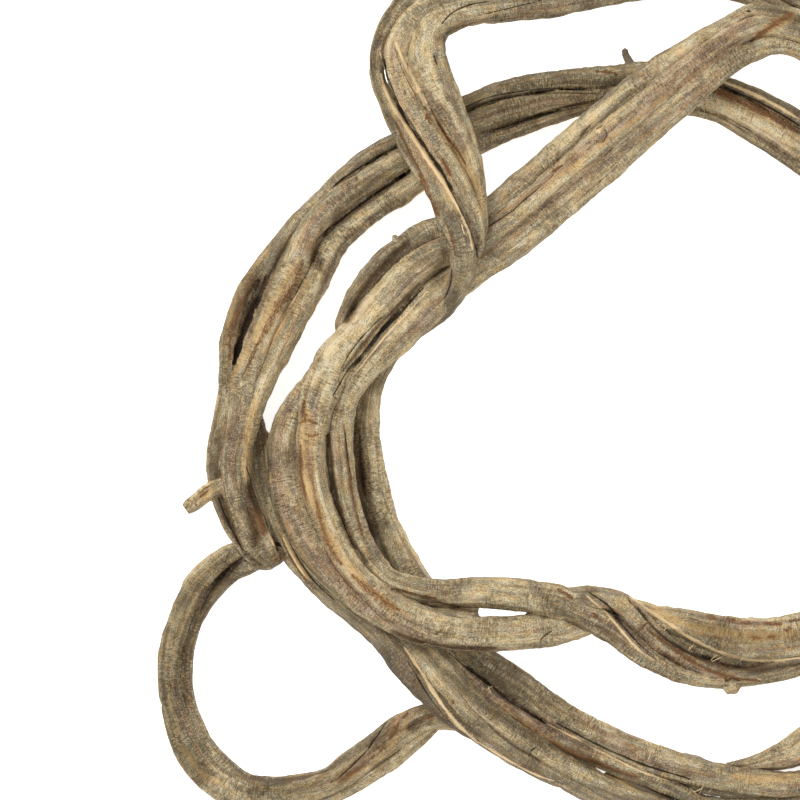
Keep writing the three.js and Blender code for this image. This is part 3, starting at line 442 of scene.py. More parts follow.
# The grey vine starts under the arch, runs beneath the inner vine and along the bottom.
GREY_RIBS = {
    "outer": [
        (-186, 8, 8, 4, 8), (-180, 2, 8.5, 8.5, 14), (-174, -8, 8.8, 10, 16),
        (-171.5, -20, 9, 10.5, 16), (-170.5, -32.5, 9.2, 10.5, 17), (-168, -46, 9.5, 10, 17),
        (-163.5, -59, 10, 10, 18), (-158, -70.5, 10.5, 11, 18), (-151, -80, 11, 12.5, 19),
        (-141, -90, 12, 13.5, 19), (-127.5, -101.5, 14.5, 14, 19), (-110.5, -116, 20, 13.5, 19),
        (-97, -134.5, 25, 12, 18), (-86, -146, 26.5, 11.5, 18), (-75.5, -157, 26.5, 10, 17),
        (-63.5, -165, 25, 9, 16), (-47.5, -176.5, 21.5, 7, 14), (-29.5, -187.5, 17, 5, 11),
        (-20, -193, 15, 3, 7),
    ],
    "middle": [
        (-168.5, -16, 8.5, 5, 9), (-164.5, -29, 10, 8.5, 15), (-162, -42, 10.5, 9.5, 17),
        (-157.5, -55, 11, 10, 18), (-150.5, -67, 11.3, 11, 18), (-140, -79, 12, 12, 18),
        (-125, -94, 14, 12, 18), (-108.5, -109, 17, 11.5, 18), (-94, -125, 21.5, 11, 18),
        (-80, -142.5, 25, 10, 18), (-65, -159, 24.5, 9, 17), (-50, -172.5, 21, 8.5, 16),
        (-35, -182, 18, 8.5, 16), (-20, -189.5, 14.5, 8.5, 16), (-5, -197, 11.5, 9, 16),
        (15, -204.5, 9, 9, 15), (32.5, -211, 8.5, 9, 15), (57.5, -219.5, 8.2, 9, 15),
        (92.5, -224.5, 8, 9, 15), (127.5, -215, 8.2, 9, 15), (158, -193.5, 8.2, 9, 15),
        (183.5, -162, 8.2, 9, 15), (201.5, -124, 8.2, 9, 15), (208, -87.5, 8, 9, 14),
        (206, -54, 8, 8.5, 14), (201, -26, 8, 7, 13),
    ],
    "inner": [
        (-154, -48.5, 9.5, 4.5, 9), (-148, -62.5, 10.5, 9, 16), (-138, -76, 11.5, 11, 18),
        (-124, -90, 13, 12, 18), (-108.5, -102.5, 14.5, 12.5, 19), (-94, -116.5, 17, 13, 20),
        (-80, -132, 19, 13, 20), (-65, -149, 19.5, 13, 20), (-50, -162, 18.5, 13, 20),
        (-35, -172, 16.5, 13, 20), (-20, -181.5, 14, 12.5, 20), (-5, -190, 12, 12, 20),
        (10, -196.5, 11, 11, 20), (30, -204, 10.5, 11, 20), (55, -213, 10.3, 11, 20),
        (90, -218, 10, 11, 20), (122.5, -209, 10.2, 11, 20), (152.5, -187.5, 10.3, 11, 20),
        (177.5, -157.5, 10.3, 11, 20), (195, -121, 10.3, 11, 20), (201, -85, 10, 10.5, 18),
        (199, -54, 9.5, 10, 17), (195, -26, 9.5, 9, 16),
    ],
    "web": [
        (2.5, -187, 8.5, 3, 7), (11, -191, 8.5, 6, 11), (24, -196.5, 8.5, 6.5, 12),
        (38, -203, 8, 4, 9),
    ],
}

# How light each rib's bark is, from dark at 0 to straw at 1, and how light where nothing is said.
# The rim, back, web and loop_inner ribs lie low or behind others and are set darker, partly as painted shade.
TONES = {
    "rim": 0.35, "face": 0.59, "inner": 0.54, "split": 0.5, "back": 0.25, "stub": 0.62, "twig": 0.12,
    "knuckle": 0.45, "edge": 0.54, "middle": 0.62, "open": 0.58, "violet": 0.61, "twist_low": 0.5,
    "twist_high": 0.46, "channel": 0.46, "knob": 0.7, "bud": 0.6, "web": 0.4, "left": 0.48, "right": 0.57,
    "deep": 0.44, "outer": 0.46, "loop_main": 0.53, "loop_inner": 0.42, "loop_outer": 0.5,
}
PLAIN_TONE = 0.5

# Where each kind of mark is painted: the layer and its channel, its lift in millimetres and its strength.
# A lip is a raised cream edge, a slot a groove painted dark as its shade, rust and speckle are brown
# stains and a shade is painted shade over a slight hollow. Dusk, worn, violet and pale are bands of darker,
# orange, violet and lighter bark; dusk is partly painted shade where the bark lies low or under an edge.
MARK_KINDS = {
    "lip": ("marks", 0, 0.4, 1), "rust": ("marks", 1, -0.1, 1), "speckle": ("marks", 1, 0, 0.85),
    "slot": ("marks", 2, -1, 1), "shade": ("marks", 3, -0.5, 0.9), "shaded_and_weathered": ("bands", 0, -0.1, 1),
    "worn": ("bands", 1, 0.15, 1), "violet": ("bands", 2, -0.15, 1), "pale": ("bands", 3, 0.1, 1),
}

# The marks of each vine, lines that follow its bark: kind, width and points seen from above, x, y.
MARKS = {
    "wrap_vine": [
        ("shaded_and_weathered", 5, [
            (-101, 200), (-111, 182), (-114, 169.5), (-111.5, 156), (-106, 140.5), (-102, 130),
            (-91, 115),
        ]),
        ("slot", 1.3, [
            (-108, 170), (-107, 163), (-103.5, 153), (-98.5, 142.5), (-91, 131), (-84, 120.5),
            (-77.5, 111), (-73, 101.5), (-67, 89.5), (-62.5, 78.5), (-61, 69),
        ]),
        ("lip", 2.2, [
            (-109.5, 162.5), (-108.5, 158), (-104.5, 148), (-99.5, 140), (-93.5, 130.5),
            (-87.5, 121.5), (-82, 113.5), (-77, 105.5), (-71.5, 96), (-66.5, 85.5), (-64, 75),
        ]),
        ("worn", 3.5, [(-108, 156), (-102.5, 144), (-94, 132), (-86, 120), (-78, 107), (-71, 93)]),
        ("lip", 2.3, [(-102, 178), (-97.5, 167), (-92, 157.5), (-88, 149), (-85, 144)]),
        ("lip", 3.6, [(-93, 159), (-89.5, 152), (-86.5, 146)]),
        ("rust", 0.8, [(-103, 176), (-99, 165), (-95, 157), (-91, 149.5)]),
        ("rust", 1.7, [(-84.5, 145), (-81, 138), (-76.5, 131), (-71, 124), (-67, 117)]),
        ("worn", 4.5, [(-84, 141), (-76.5, 130), (-67.5, 117), (-61, 105), (-59, 92.5)]),
        ("rust", 1.6, [(-97.5, 154.5), (-97.5, 152)]),
        ("rust", 3.2, [(-87, 143), (-85, 138)]),
        ("rust", 3.4, [(-79, 120.5), (-77, 116), (-74.5, 111.5)]),
        ("rust", 5.4, [(-90, 113), (-88, 106), (-85.5, 99), (-81, 92)]),
        ("rust", 2.2, [(-102, 138), (-98, 129), (-94, 121), (-90, 114)]),
        ("rust", 1.6, [(-76.5, 87), (-74, 80), (-72.5, 72)]),
        ("violet", 4, [(-101, 142), (-94, 129), (-86, 116), (-79, 104)]),
        ("pale", 6, [(-88, 190), (-88, 175), (-85, 160), (-79, 148)]),
        ("shade", 1.2, [(-83, 172), (-81.5, 167)]),
        ("slot", 0.8, [(-79.5, 187), (-74, 193), (-66, 197), (-55, 199)]),
        ("slot", 0.6, [(-57, 192.5), (-47.5, 195), (-37.5, 197.5), (-30, 199.5)]),
        ("shaded_and_weathered", 5, [(-77, 183), (-60, 185.5), (-40, 187), (-20, 190), (0, 196)]),
        ("slot", 1.4, [(-75, 66), (-75, 60), (-78, 51), (-83, 44), (-88, 40.5)]),
        ("shaded_and_weathered", 7, [(-72, 54), (-75, 44), (-82, 35)]),
        ("shade", 5, [
            (-123.5, 0), (-122.5, -15), (-121.5, -30.5), (-118.5, -50), (-114, -70), (-108, -87),
        ]),
        ("shaded_and_weathered", 5, [(-120, -25), (-116, -50), (-109, -72.5), (-102, -87.5)]),
        ("pale", 9, [(-113, 2), (-111.5, -20), (-107, -43), (-101, -60), (-94, -75), (-87, -88)]),
        ("violet", 7, [(-77, -130), (-65, -140), (-50, -150), (-35, -160), (-20, -169), (0, -178)]),
        ("slot", 1.2, [(-75.5, -126.5), (-59.5, -139), (-45, -150), (-35, -156.5), (-27, -162)]),
        ("lip", 1.3, [(-26.5, -162), (-14.5, -168), (1.5, -176.5), (19.5, -185.5), (35, -191)]),
        ("slot", 1.6, [(-22, -162), (-5, -171), (10, -178), (25, -184), (45, -190)]),
        ("worn", 2, [(-67, -142), (-50, -154), (-30, -167), (-5, -181)]),
        ("shaded_and_weathered", 12, [(-69, -126), (-50, -140), (-30, -151), (-10, -161)]),
        ("shaded_and_weathered", 7, [(-77, -134), (-62.5, -147), (-47.5, -158), (-30, -169), (-10, -179), (10, -187)]),
        ("speckle", 5, [(-74, -136), (-60, -148), (-45, -159), (-27.5, -170), (-5, -180), (20, -189)]),
        ("violet", 5, [(0, -170), (20, -178.5), (40, -185), (60, -189)]),
        ("pale", 9, [(-20, -153), (10, -168), (30, -176), (50, -183)]),
        ("worn", 5, [(65, -188), (80, -190), (100, -189)]),
    ],
    "arch_vine": [
        ("shaded_and_weathered", 26, [(-80, 135), (-65, 144), (-50, 148), (-30, 151), (-10, 153), (20, 154)]),
        ("slot", 0.5, [(-68.5, 145.5), (-56.5, 151), (-40.5, 154), (-27, 155.5), (-0.5, 155)]),
        ("shade", 1.2, [(-67, 144), (-55, 149), (-40, 152.5), (-25, 154), (0, 153.5)]),
        ("slot", 0.5, [(-61.5, 132.5), (-45.5, 136.5), (-35, 140.5), (-19, 145.5), (-3.5, 148.5)]),
        ("shade", 1.2, [(-60, 133.5), (-45, 137.5), (-32.5, 142), (-17.5, 146.5), (-2.5, 149.5)]),
        ("violet", 4, [(-65, 139), (-50, 144), (-30, 149), (-5, 152)]),
        ("rust", 2, [(-2, 164.5), (5, 164), (9, 163)]),
        ("shaded_and_weathered", 5, [(-90, 125), (-105, 115), (-120, 104), (-133, 91)]),
        ("slot", 1, [(-101.5, 126.5), (-110, 122), (-119, 116.5), (-127, 111.5), (-133, 107)]),
        ("slot", 1.2, [
            (-93.5, 116), (-104, 109), (-118, 99.5), (-126, 93.5), (-134.5, 86.5), (-141.5, 79.5),
        ]),
        ("shade", 3, [(-95, 114), (-106, 106.5), (-119, 97.5), (-130, 89), (-138, 82)]),
        ("shade", 8, [(-141.5, 79), (-143, 73.5), (-139, 65)]),
        ("rust", 1.6, [(-122, 112), (-121.5, 109.5)]),
        ("worn", 4.2, [(-151, 71), (-157.5, 58), (-165, 45), (-171, 34), (-178, 22), (-185, 8)]),
        ("worn", 3, [(-145.5, 61), (-150.5, 51), (-156.5, 42), (-162, 33), (-169, 22)]),
        ("lip", 0.8, [(-150, 55), (-155, 47), (-161, 38)]),
        ("speckle", 5.4, [
            (-148.5, 70), (-151.5, 61), (-156.5, 52), (-161.5, 45), (-166, 37), (-170, 29),
        ]),
        ("speckle", 2.6, [(-166, 37), (-171, 28), (-175, 19), (-179, 11)]),
        ("shaded_and_weathered", 7, [(-156, 78), (-161.5, 66), (-167, 53), (-171.5, 42), (-175.5, 32)]),
        ("violet", 3, [(-162, 66), (-167.5, 53), (-172, 42), (-176, 32)]),
        ("pale", 8, [(-141, 57), (-148.5, 41), (-157, 26), (-166, 11), (-174, -4)]),
        ("shade", 5, [(-167, 62), (-171.5, 52), (-175.5, 43), (-179, 33), (-182, 22)]),
        ("slot", 3, [(-167, 61), (-170.5, 53), (-174.5, 44), (-178.5, 34), (-181.5, 24), (-183, 18)]),
        ("shade", 4, [(-171, 60), (-177, 50), (-181, 41), (-183.5, 31)]),
        ("shaded_and_weathered", 9, [(-169, 69), (-179, 56), (-185, 41), (-188, 25), (-188.5, 7.5)]),
        ("speckle", 3.4, [(-172, 62), (-178.5, 51), (-183, 40), (-185, 30), (-185, 20)]),
        ("worn", 1.6, [(-165, 76), (-175, 64), (-181, 55), (-185.5, 41), (-188, 25)]),
        ("pale", 2, [(-177, 43), (-180, 35), (-182.5, 25), (-184.5, 16)]),
        ("worn", 1.2, [(-177, 43), (-180, 35), (-182.5, 25), (-184.5, 16)]),
        ("shaded_and_weathered", 5, [(-188.5, 2.5), (-192, -15), (-193, -32.5), (-191, -50), (-186, -65)]),
        ("violet", 5, [(-180, 0), (-183, -15), (-184, -30), (-182, -45)]),
        ("worn", 4.5, [(-171, 0), (-175, -12.5), (-176.5, -25), (-177, -40)]),
        ("shade", 5.6, [(-189, -49), (-186.5, -56.5), (-183, -65), (-178.5, -75)]),
        ("slot", 1, [(-191, -48.5), (-187.5, -57), (-183, -67.5), (-178, -78)]),
        ("pale", 2.4, [(-183, -51.5), (-179.5, -61), (-175, -71.5)]),
        ("shade", 9, [(-175, -43), (-174, -52), (-173, -61), (-172, -72)]),
        ("shaded_and_weathered", 10, [(-175, -41), (-174, -52), (-172.5, -63), (-171, -75)]),
        ("speckle", 6, [(-172, -53), (-169.5, -61), (-168, -68)]),
        ("slot", 1.2, [(-176.5, -33), (-172, -46), (-167, -58), (-163, -70), (-160.5, -75.5)]),
        ("pale", 5, [(-166.5, -66), (-163.5, -73), (-161, -79)]),
        ("lip", 1.8, [(-166, -66.5), (-163, -73)]),
        ("shade", 5, [(-177, -76), (-172, -81), (-168, -84)]),
        ("worn", 4, [(-163, -78), (-161, -81)]),
        ("rust", 1.6, [(-160, -76.5), (-159.5, -80)]),
        ("shade", 2, [(-200, -48.5), (-196, -45.5)]),
        ("rust", 1.2, [(-201, -47), (-197, -44), (-193.5, -42)]),
        ("rust", 1.5, [(-202.5, -51.5), (-201.5, -53)]),
        ("rust", 1.3, [(-206, -49.5), (-205.5, -51)]),
        ("shaded_and_weathered", 3.5, [(-207.5, -51.5), (-204.5, -56)]),
        ("worn", 5, [(-202, -50), (-197, -47), (-192, -44)]),
        ("slot", 1.3, [(61, 157), (72.5, 152), (85, 146), (100, 137)]),
        ("rust", 6.4, [(53, 156), (65, 152), (80, 145.2), (90, 140), (100, 134)]),
        ("worn", 1.2, [(57, 155), (71.5, 146.8), (81.5, 141), (92, 135), (100, 129)]),
        ("lip", 1.9, [(60, 160), (72.5, 155), (85, 149.2), (100, 140.5)]),
        ("pale", 7, [(45, 153), (65, 144), (82.5, 133), (100, 121)]),
        ("shaded_and_weathered", 9, [(36, 145), (55, 137), (75, 127), (100, 112)]),
        ("shaded_and_weathered", 20, [
            (-180, -78), (-195, -87), (-207.5, -103), (-215, -125), (-217, -150), (-210, -172.5),
            (-195, -187.5),
        ]),
        ("shade", 4, [
            (-180.5, -81.5), (-191, -93), (-199.5, -106), (-205, -120), (-207.5, -135), (-206, -152.5),
        ]),
        ("slot", 2.2, [(-179, -79), (-184, -83), (-190, -89), (-196, -97), (-200, -105)]),
        ("rust", 1.2, [(-215, -142), (-214.5, -145)]),
        ("worn", 3, [(-210, -172.5), (-200, -186), (-187.5, -194)]),
        ("shaded_and_weathered", 12, [(-175, -195), (-150, -195), (-130, -187.5), (-110, -172.5), (-90, -161)]),
        ("worn", 1.8, [
            (-91, -154), (-95.5, -160), (-100.8, -168.5), (-107, -175.5), (-116, -183.8),
            (-124, -188.2), (-134, -193.5),
        ]),
        ("worn", 1.4, [(-95.5, -153.5), (-99.5, -158), (-103.5, -163.5), (-107, -167.5)]),
        ("violet", 7, [
            (-98, -157), (-102, -161), (-108, -169), (-115, -177), (-124, -185), (-131, -190),
        ]),
        ("slot", 0.9, [
            (-99, -153.5), (-106, -159.5), (-109, -164), (-114, -171.5), (-121, -180), (-129.5, -188),
            (-135, -191.5),
        ]),
        ("rust", 1.7, [(-96, -156.5), (-98.5, -159.5)]),
        ("rust", 2.4, [(-100.5, -161.5), (-102.5, -166), (-105.5, -170)]),
        ("rust", 1.7, [(-108, -173.5), (-110, -176)]),
        ("rust", 1.6, [(-112.5, -177.5), (-115, -180)]),
        ("speckle", 3, [(-117, -182), (-124, -187), (-131, -192)]),
        ("shade", 5, [(-96, -165), (-90, -161), (-83, -158)]),
    ],
    "inner_vine": [
        ("pale", 5, [(-61, 97), (-45, 109), (-27.5, 124), (-10, 139), (10, 152), (30, 165), (45, 177)]),
        ("violet", 6, [
            (-58, 84), (-42.5, 97.5), (-25, 111), (-5, 127), (15, 141), (35, 154), (55, 169),
            (70, 181),
        ]),
        ("worn", 1.6, [
            (-48, 94), (-27, 108.5), (-10, 120.5), (10, 134.5), (27.5, 147.5), (45, 161), (63, 174),
        ]),
        ("violet", 9, [(20, 147), (40, 163), (60, 179), (76, 192)]),
        ("slot", 0.7, [(-55.5, 87), (-45, 94), (-35, 102.5), (-23.5, 112.5)]),
        ("violet", 5, [(-55, 75), (-40, 87), (-20, 103), (0, 117), (20, 131), (40, 146), (58, 159)]),
        ("worn", 5, [(-20, 112), (-15, 115), (-9, 119)]),
        ("rust", 2.4, [(-24, 114), (-19, 117)]),
        ("rust", 1.6, [(-2, 135), (1, 137)]),
        ("lip", 4.2, [(-1.5, 135), (-0.5, 133.5)]),
        ("shade", 0.8, [(1.5, 136), (3, 132), (0.5, 128.5), (-3, 129.5)]),
        ("shade", 1.6, [(-5, 137), (-7.5, 134.5), (-10, 131.5)]),
        ("rust", 0.7, [(-13, 98), (-4, 106), (2, 111), (9, 117)]),
        ("rust", 0.7, [(50, 155), (56, 159), (60, 163)]),
        ("worn", 5, [(78, 181), (87, 187), (97, 193)]),
        ("rust", 5, [(78.5, 181.5), (85.5, 186.5), (92, 190.5), (96, 193)]),
        ("rust", 2.4, [(74.5, 178.5), (78, 181.5), (81.5, 184)]),
        ("slot", 1, [(72.5, 194), (75, 194)]),
        ("pale", 5, [(-40, 77), (-20, 91), (0, 106), (20, 120), (40, 135)]),
        ("shaded_and_weathered", 10, [(77.5, 197), (87.5, 196), (100, 189)]),
        ("shade", 7, [(-95.5, 79.5), (-106, 69), (-115, 59), (-122, 49.5), (-127, 39)]),
        ("shaded_and_weathered", 5, [(-98, 77), (-108, 68), (-117, 57), (-124, 45)]),
        ("slot", 1.9, [
            (-88.5, 56.5), (-94, 50.5), (-99.5, 44.5), (-110, 33.5), (-118, 23), (-126, 14), (-133, 2),
        ]),
        ("lip", 1, [(-86, 54.5), (-97.5, 42), (-108, 31), (-116, 21), (-124, 11.5)]),
        ("shade", 3, [(-90, 58), (-101, 46.5), (-112, 35), (-120, 24.5), (-128, 14.5)]),
        ("slot", 0.8, [(-108.5, 41.5), (-115, 35.5), (-120.5, 29.5), (-125, 23), (-129, 16)]),
        ("pale", 4, [(-96, 69), (-110, 55), (-124, 39), (-135, 24), (-143, 8)]),
        ("pale", 3, [(-80, 55), (-95, 39), (-109, 25), (-120, 10), (-127, -4)]),
        ("shaded_and_weathered", 8, [(-78, 75), (-80, 62.5), (-85, 52)]),
        ("speckle", 3.4, [(-148, 0), (-148, -5), (-147, -10)]),
        ("worn", 8, [(-146, -6), (-146, -18), (-147, -31), (-145.5, -44), (-141, -58)]),
        ("speckle", 2.6, [(-150.5, -11.5), (-146, -10), (-141, -12)]),
        ("speckle", 2.2, [(-147.5, -17), (-144, -18), (-140.5, -17)]),
        ("speckle", 2.8, [(-149.5, -22), (-149.5, -31), (-148.5, -41), (-146.5, -50)]),
        ("speckle", 4, [(-142, -50), (-139, -62), (-134.5, -74), (-129, -82)]),
        ("speckle", 5, [(-124, -87), (-117, -93), (-109, -99), (-100, -105)]),
        ("violet", 9, [
            (-158, -10), (-162, -30.5), (-158, -53.5), (-147.5, -71), (-133, -87), (-118, -102),
            (-100, -113), (-85, -120),
        ]),
        ("shaded_and_weathered", 5, [
            (-162, -10), (-166, -30.5), (-164, -52.5), (-155, -70), (-140, -89), (-125, -105),
        ]),
        ("slot", 0.7, [(-162, -60), (-156, -70), (-148.5, -81), (-140, -92)]),
        ("lip", 1.1, [(-158, -67), (-155, -74.5), (-152, -81.5), (-148, -87.5)]),
        ("rust", 1, [(-160, -66), (-157, -74), (-153.5, -81.5)]),
        ("worn", 1.6, [(-158, -60), (-154, -69), (-148.5, -78), (-141, -87)]),
        ("worn", 5, [
            (-149.5, -9), (-147.5, -30.5), (-143, -50.5), (-134, -70.5), (-123.5, -85.5), (-111, -98),
            (-95, -108),
        ]),
        ("rust", 1.4, [(-138, -74), (-133, -83), (-126, -92), (-119, -99)]),
        ("pale", 3, [(-144, -20), (-141, -40), (-136, -56), (-129, -70), (-120, -81)]),
        ("shade", 4, [(-136, -17), (-134.5, -35), (-132, -50), (-125.5, -67), (-117, -81)]),
        ("speckle", 2.6, [(-128, -12.5), (-126.5, -27.5), (-125, -41), (-122, -56), (-118, -70)]),
        ("slot", 0.8, [(-127.5, -15), (-126, -27.5), (-124, -40)]),
        ("rust", 2, [(-90, -98), (-82, -99)]),
        ("shaded_and_weathered", 6, [(-104, -117), (-85, -124), (-67.5, -126), (-47.5, -125)]),
        ("violet", 5, [(-104, -117), (-85, -123.5), (-67.5, -125.5), (-47.5, -124.5)]),
        ("shade", 3.5, [(-105, -115), (-90, -121), (-72.5, -124), (-52, -124)]),
        ("shade", 3, [(-104, -94), (-90, -98), (-75, -103), (-62, -105.5)]),
        ("rust", 1.2, [(-82.5, -117), (-78.5, -114)]),
        ("slot", 0.6, [(-30, -120), (-27, -117), (-24, -115)]),
        ("shaded_and_weathered", 5, [(-33, -93), (-25, -101), (-17, -108), (-8, -114)]),
        ("rust", 2.4, [(-22, -94), (-18, -96), (-14, -99)]),
        ("rust", 2.4, [(-4, -106), (-1, -109)]),
        ("slot", 1.3, [
            (-6, -95.5), (-1, -99), (4, -103.5), (9, -109), (14, -115), (20, -122), (27, -127.5),
        ]),
        ("lip", 1.6, [(-7, -97.5), (2, -105.5), (7, -111), (12, -117), (19, -124.5), (27, -130)]),
        ("rust", 1.4, [(18, -116), (21, -113.5), (23.5, -111)]),
        ("rust", 1.4, [(11, -123.5), (12.5, -121.5)]),
        ("slot", 1.3, [(14, -99.5), (20, -105.5), (25, -112)]),
        ("lip", 2.1, [
            (14.5, -98), (24, -105), (33.5, -111), (42, -117), (50, -121.5), (65.5, -128),
            (82.5, -130.5), (100, -129),
        ]),
        ("shade", 5, [
            (22, -107), (28, -115.5), (38, -123.5), (50, -129), (65, -133), (82.5, -134.5),
            (100, -132),
        ]),
        ("slot", 2.2, [(19, -103), (25, -111), (31, -117), (40, -123), (50, -127.5), (59, -130)]),
        ("violet", 6, [(0, -100), (10, -110), (22, -120), (34, -128), (50, -135), (70, -140)]),
        ("rust", 2.4, [(23, -114.5), (36, -123.5), (50, -133), (65.5, -138.5), (80, -140.5)]),
        ("worn", 6, [(25, -104), (45, -113), (65, -117), (85, -118), (100, -117)]),
        ("shaded_and_weathered", 14, [(45, -112), (65, -118), (85, -120), (100, -119)]),
        ("speckle", 3, [(53, -107.5), (58, -109)]),
        ("speckle", 3, [(63, -109.5), (67.5, -110)]),
        ("speckle", 2.6, [(70.5, -111), (75.5, -111.5)]),
        ("speckle", 3, [(81.5, -111.5), (91, -112)]),
        ("speckle", 2.6, [(94.5, -110.5), (100, -110)]),
        ("speckle", 2.8, [(75.5, -118.5), (80.5, -119)]),
        ("speckle", 2.8, [(83.5, -118.5), (88, -118)]),
        ("speckle", 2.6, [(91.5, -115.5), (96, -114)]),
        ("rust", 2.6, [(62.5, -139), (64, -141)]),
        ("worn", 3.4, [(66, -144), (68, -145)]),
        ("shade", 1.2, [(62.5, -140.5), (66.5, -139.5), (70, -140.5)]),
    ],
    "grey_vine": [
        ("lip", 1.5, [(-158.5, -69), (-155.5, -75), (-151.5, -82), (-147.5, -88)]),
        ("worn", 3, [(-158.5, -66), (-155, -74), (-150.5, -82), (-145, -90)]),
        ("rust", 1.3, [(-160.5, -66.5), (-157, -74.5), (-153.5, -81), (-148.5, -88.5), (-142, -95)]),
        ("slot", 1.2, [(-156, -68.5), (-152, -77), (-147.5, -84.5), (-141, -93), (-133, -100)]),
        ("slot", 3, [(-162, -71.5), (-160, -76)]),
        # This wide pale band is painted light: it lightens the grey vine where it lies deep between higher
        # neighbours.
        ("pale", 16, [(-172.5, -10), (-169, -26), (-166, -42.5), (-161, -60), (-154, -74)]),
        ("lip", 2.2, [(-98, -123.5), (-90, -135), (-81.5, -148.5), (-72, -161), (-61, -171)]),
        ("lip", 1.1, [(-62, -170), (-47.5, -179), (-31.5, -187.5), (-22.5, -190.5)]),
        ("violet", 5, [(-103, -125), (-95, -138), (-85, -152), (-74, -166), (-60, -178)]),
        ("shaded_and_weathered", 9, [(-108, -125), (-100, -140), (-88, -155), (-75, -169), (-60, -181), (-40, -193)]),
        ("slot", 0.9, [(-96, -130), (-88, -144), (-78, -158), (-67, -169)]),
        ("pale", 5, [(-84, -134), (-70, -149), (-52, -163), (-32, -177), (-5, -192)]),
        ("shaded_and_weathered", 7, [(-77, -135), (-62.5, -148), (-47.5, -159), (-30, -170), (-10, -180), (10, -188)]),
        ("shaded_and_weathered", 5, [(-93, -130), (-84, -144), (-74, -156), (-62, -167)]),
        ("rust", 1.8, [(-74, -150), (-72.5, -151.5)]),
        ("slot", 0.7, [(-35.5, -178), (-34, -175), (-31.5, -173.5)]),
        ("slot", 1, [(-29.5, -161), (-17, -168), (-3.5, -174), (10, -181), (23, -187)]),
        ("worn", 2, [(-30, -167.5), (-16.5, -175.5), (-3.5, -183.5), (10, -191), (20.5, -197)]),
        ("violet", 5, [(-20, -171), (0, -181), (20, -191), (35, -198)]),
    ],
}

# Torn fibres that stand across the splits, each from one point to another: x, y, x, y.
FIBRES = [
    (27.9, -114.7, 30.2, -111.8), (29.2, -117.2, 32.9, -114), (30.5, -117.5, 33.2, -115.5),
    (23.5, -110.8, 25.8, -108.8), (42, -127.5, 47.2, -121.8), (43, -127.8, 45, -123.5),
    (55.5, -130.2, 58.8, -127), (56, -130.8, 61.5, -128), (69.8, -130.8, 71.8, -128.8),
    (-56, -143.2, -54.5, -147), (-57, -145, -53.5, -143.5), (-110, 174, -107.5, 165),
    (-69.5, 89.5, -67.5, 81), (50, -197.5, 52.5, -191.5), (47, -196.5, 51, -194.5),
    (45, -194, 48.5, -197.5), (53, -198.5, 56, -195),
]


def linear(red, green, blue):
    """A colour given as screen values from 0 to 255, as the shader takes it."""
    def channel(value):
        share = value / 255
        return share / 12.92 if share <= 0.04045 else ((share + 0.055) / 1.055) ** 2.4
    return channel(red), channel(green), channel(blue)


class WreathBark(bpy.types.PropertyGroup):
    """How fine the bark is and how deep its relief goes."""
    cell: bpy.props.FloatProperty(
        name="Bark cell", description="Size of the faces of the bark inside the picture",
        default=0.00112, min=0.0005, unit="LENGTH")
    coarse_cell: bpy.props.FloatProperty(
        name="Far bark cell", description="Size of the faces of the bark outside the picture",
        default=0.0024, min=0.0005, unit="LENGTH")
    ridge: bpy.props.FloatProperty(
        name="Ridge height", description="How far the long corners of a rib stand up",
        default=0.00035, min=0, unit="LENGTH")
    lump: bpy.props.FloatProperty(
        name="Lump height", description="How much a vine swells and narrows along its length",
        default=0.0004, min=0, unit="LENGTH")
    fibre: bpy.props.FloatProperty(
        name="Fibre height", description="Height of the rough fibres of the bark",
        default=0.00016, min=0, unit="LENGTH")
    proud: bpy.props.FloatProperty(
        name="Fuller ribs", description="How much fuller a rib is than its plain section",
        default=0.0003, unit="LENGTH")
    valley_rounds: bpy.props.IntProperty(
        name="Valley rounds", description="How often the valleys between grown-together ribs are smoothed",
        default=18, min=0)
    crease: bpy.props.FloatProperty(
        name="Crease depth", description="Depth of the long dry cracks of a rib",
        default=0.0007, min=0, unit="LENGTH")
    seed: bpy.props.IntProperty(
        name="Seed", description="Which draw of ridges, cracks and fibres is grown", default=7)


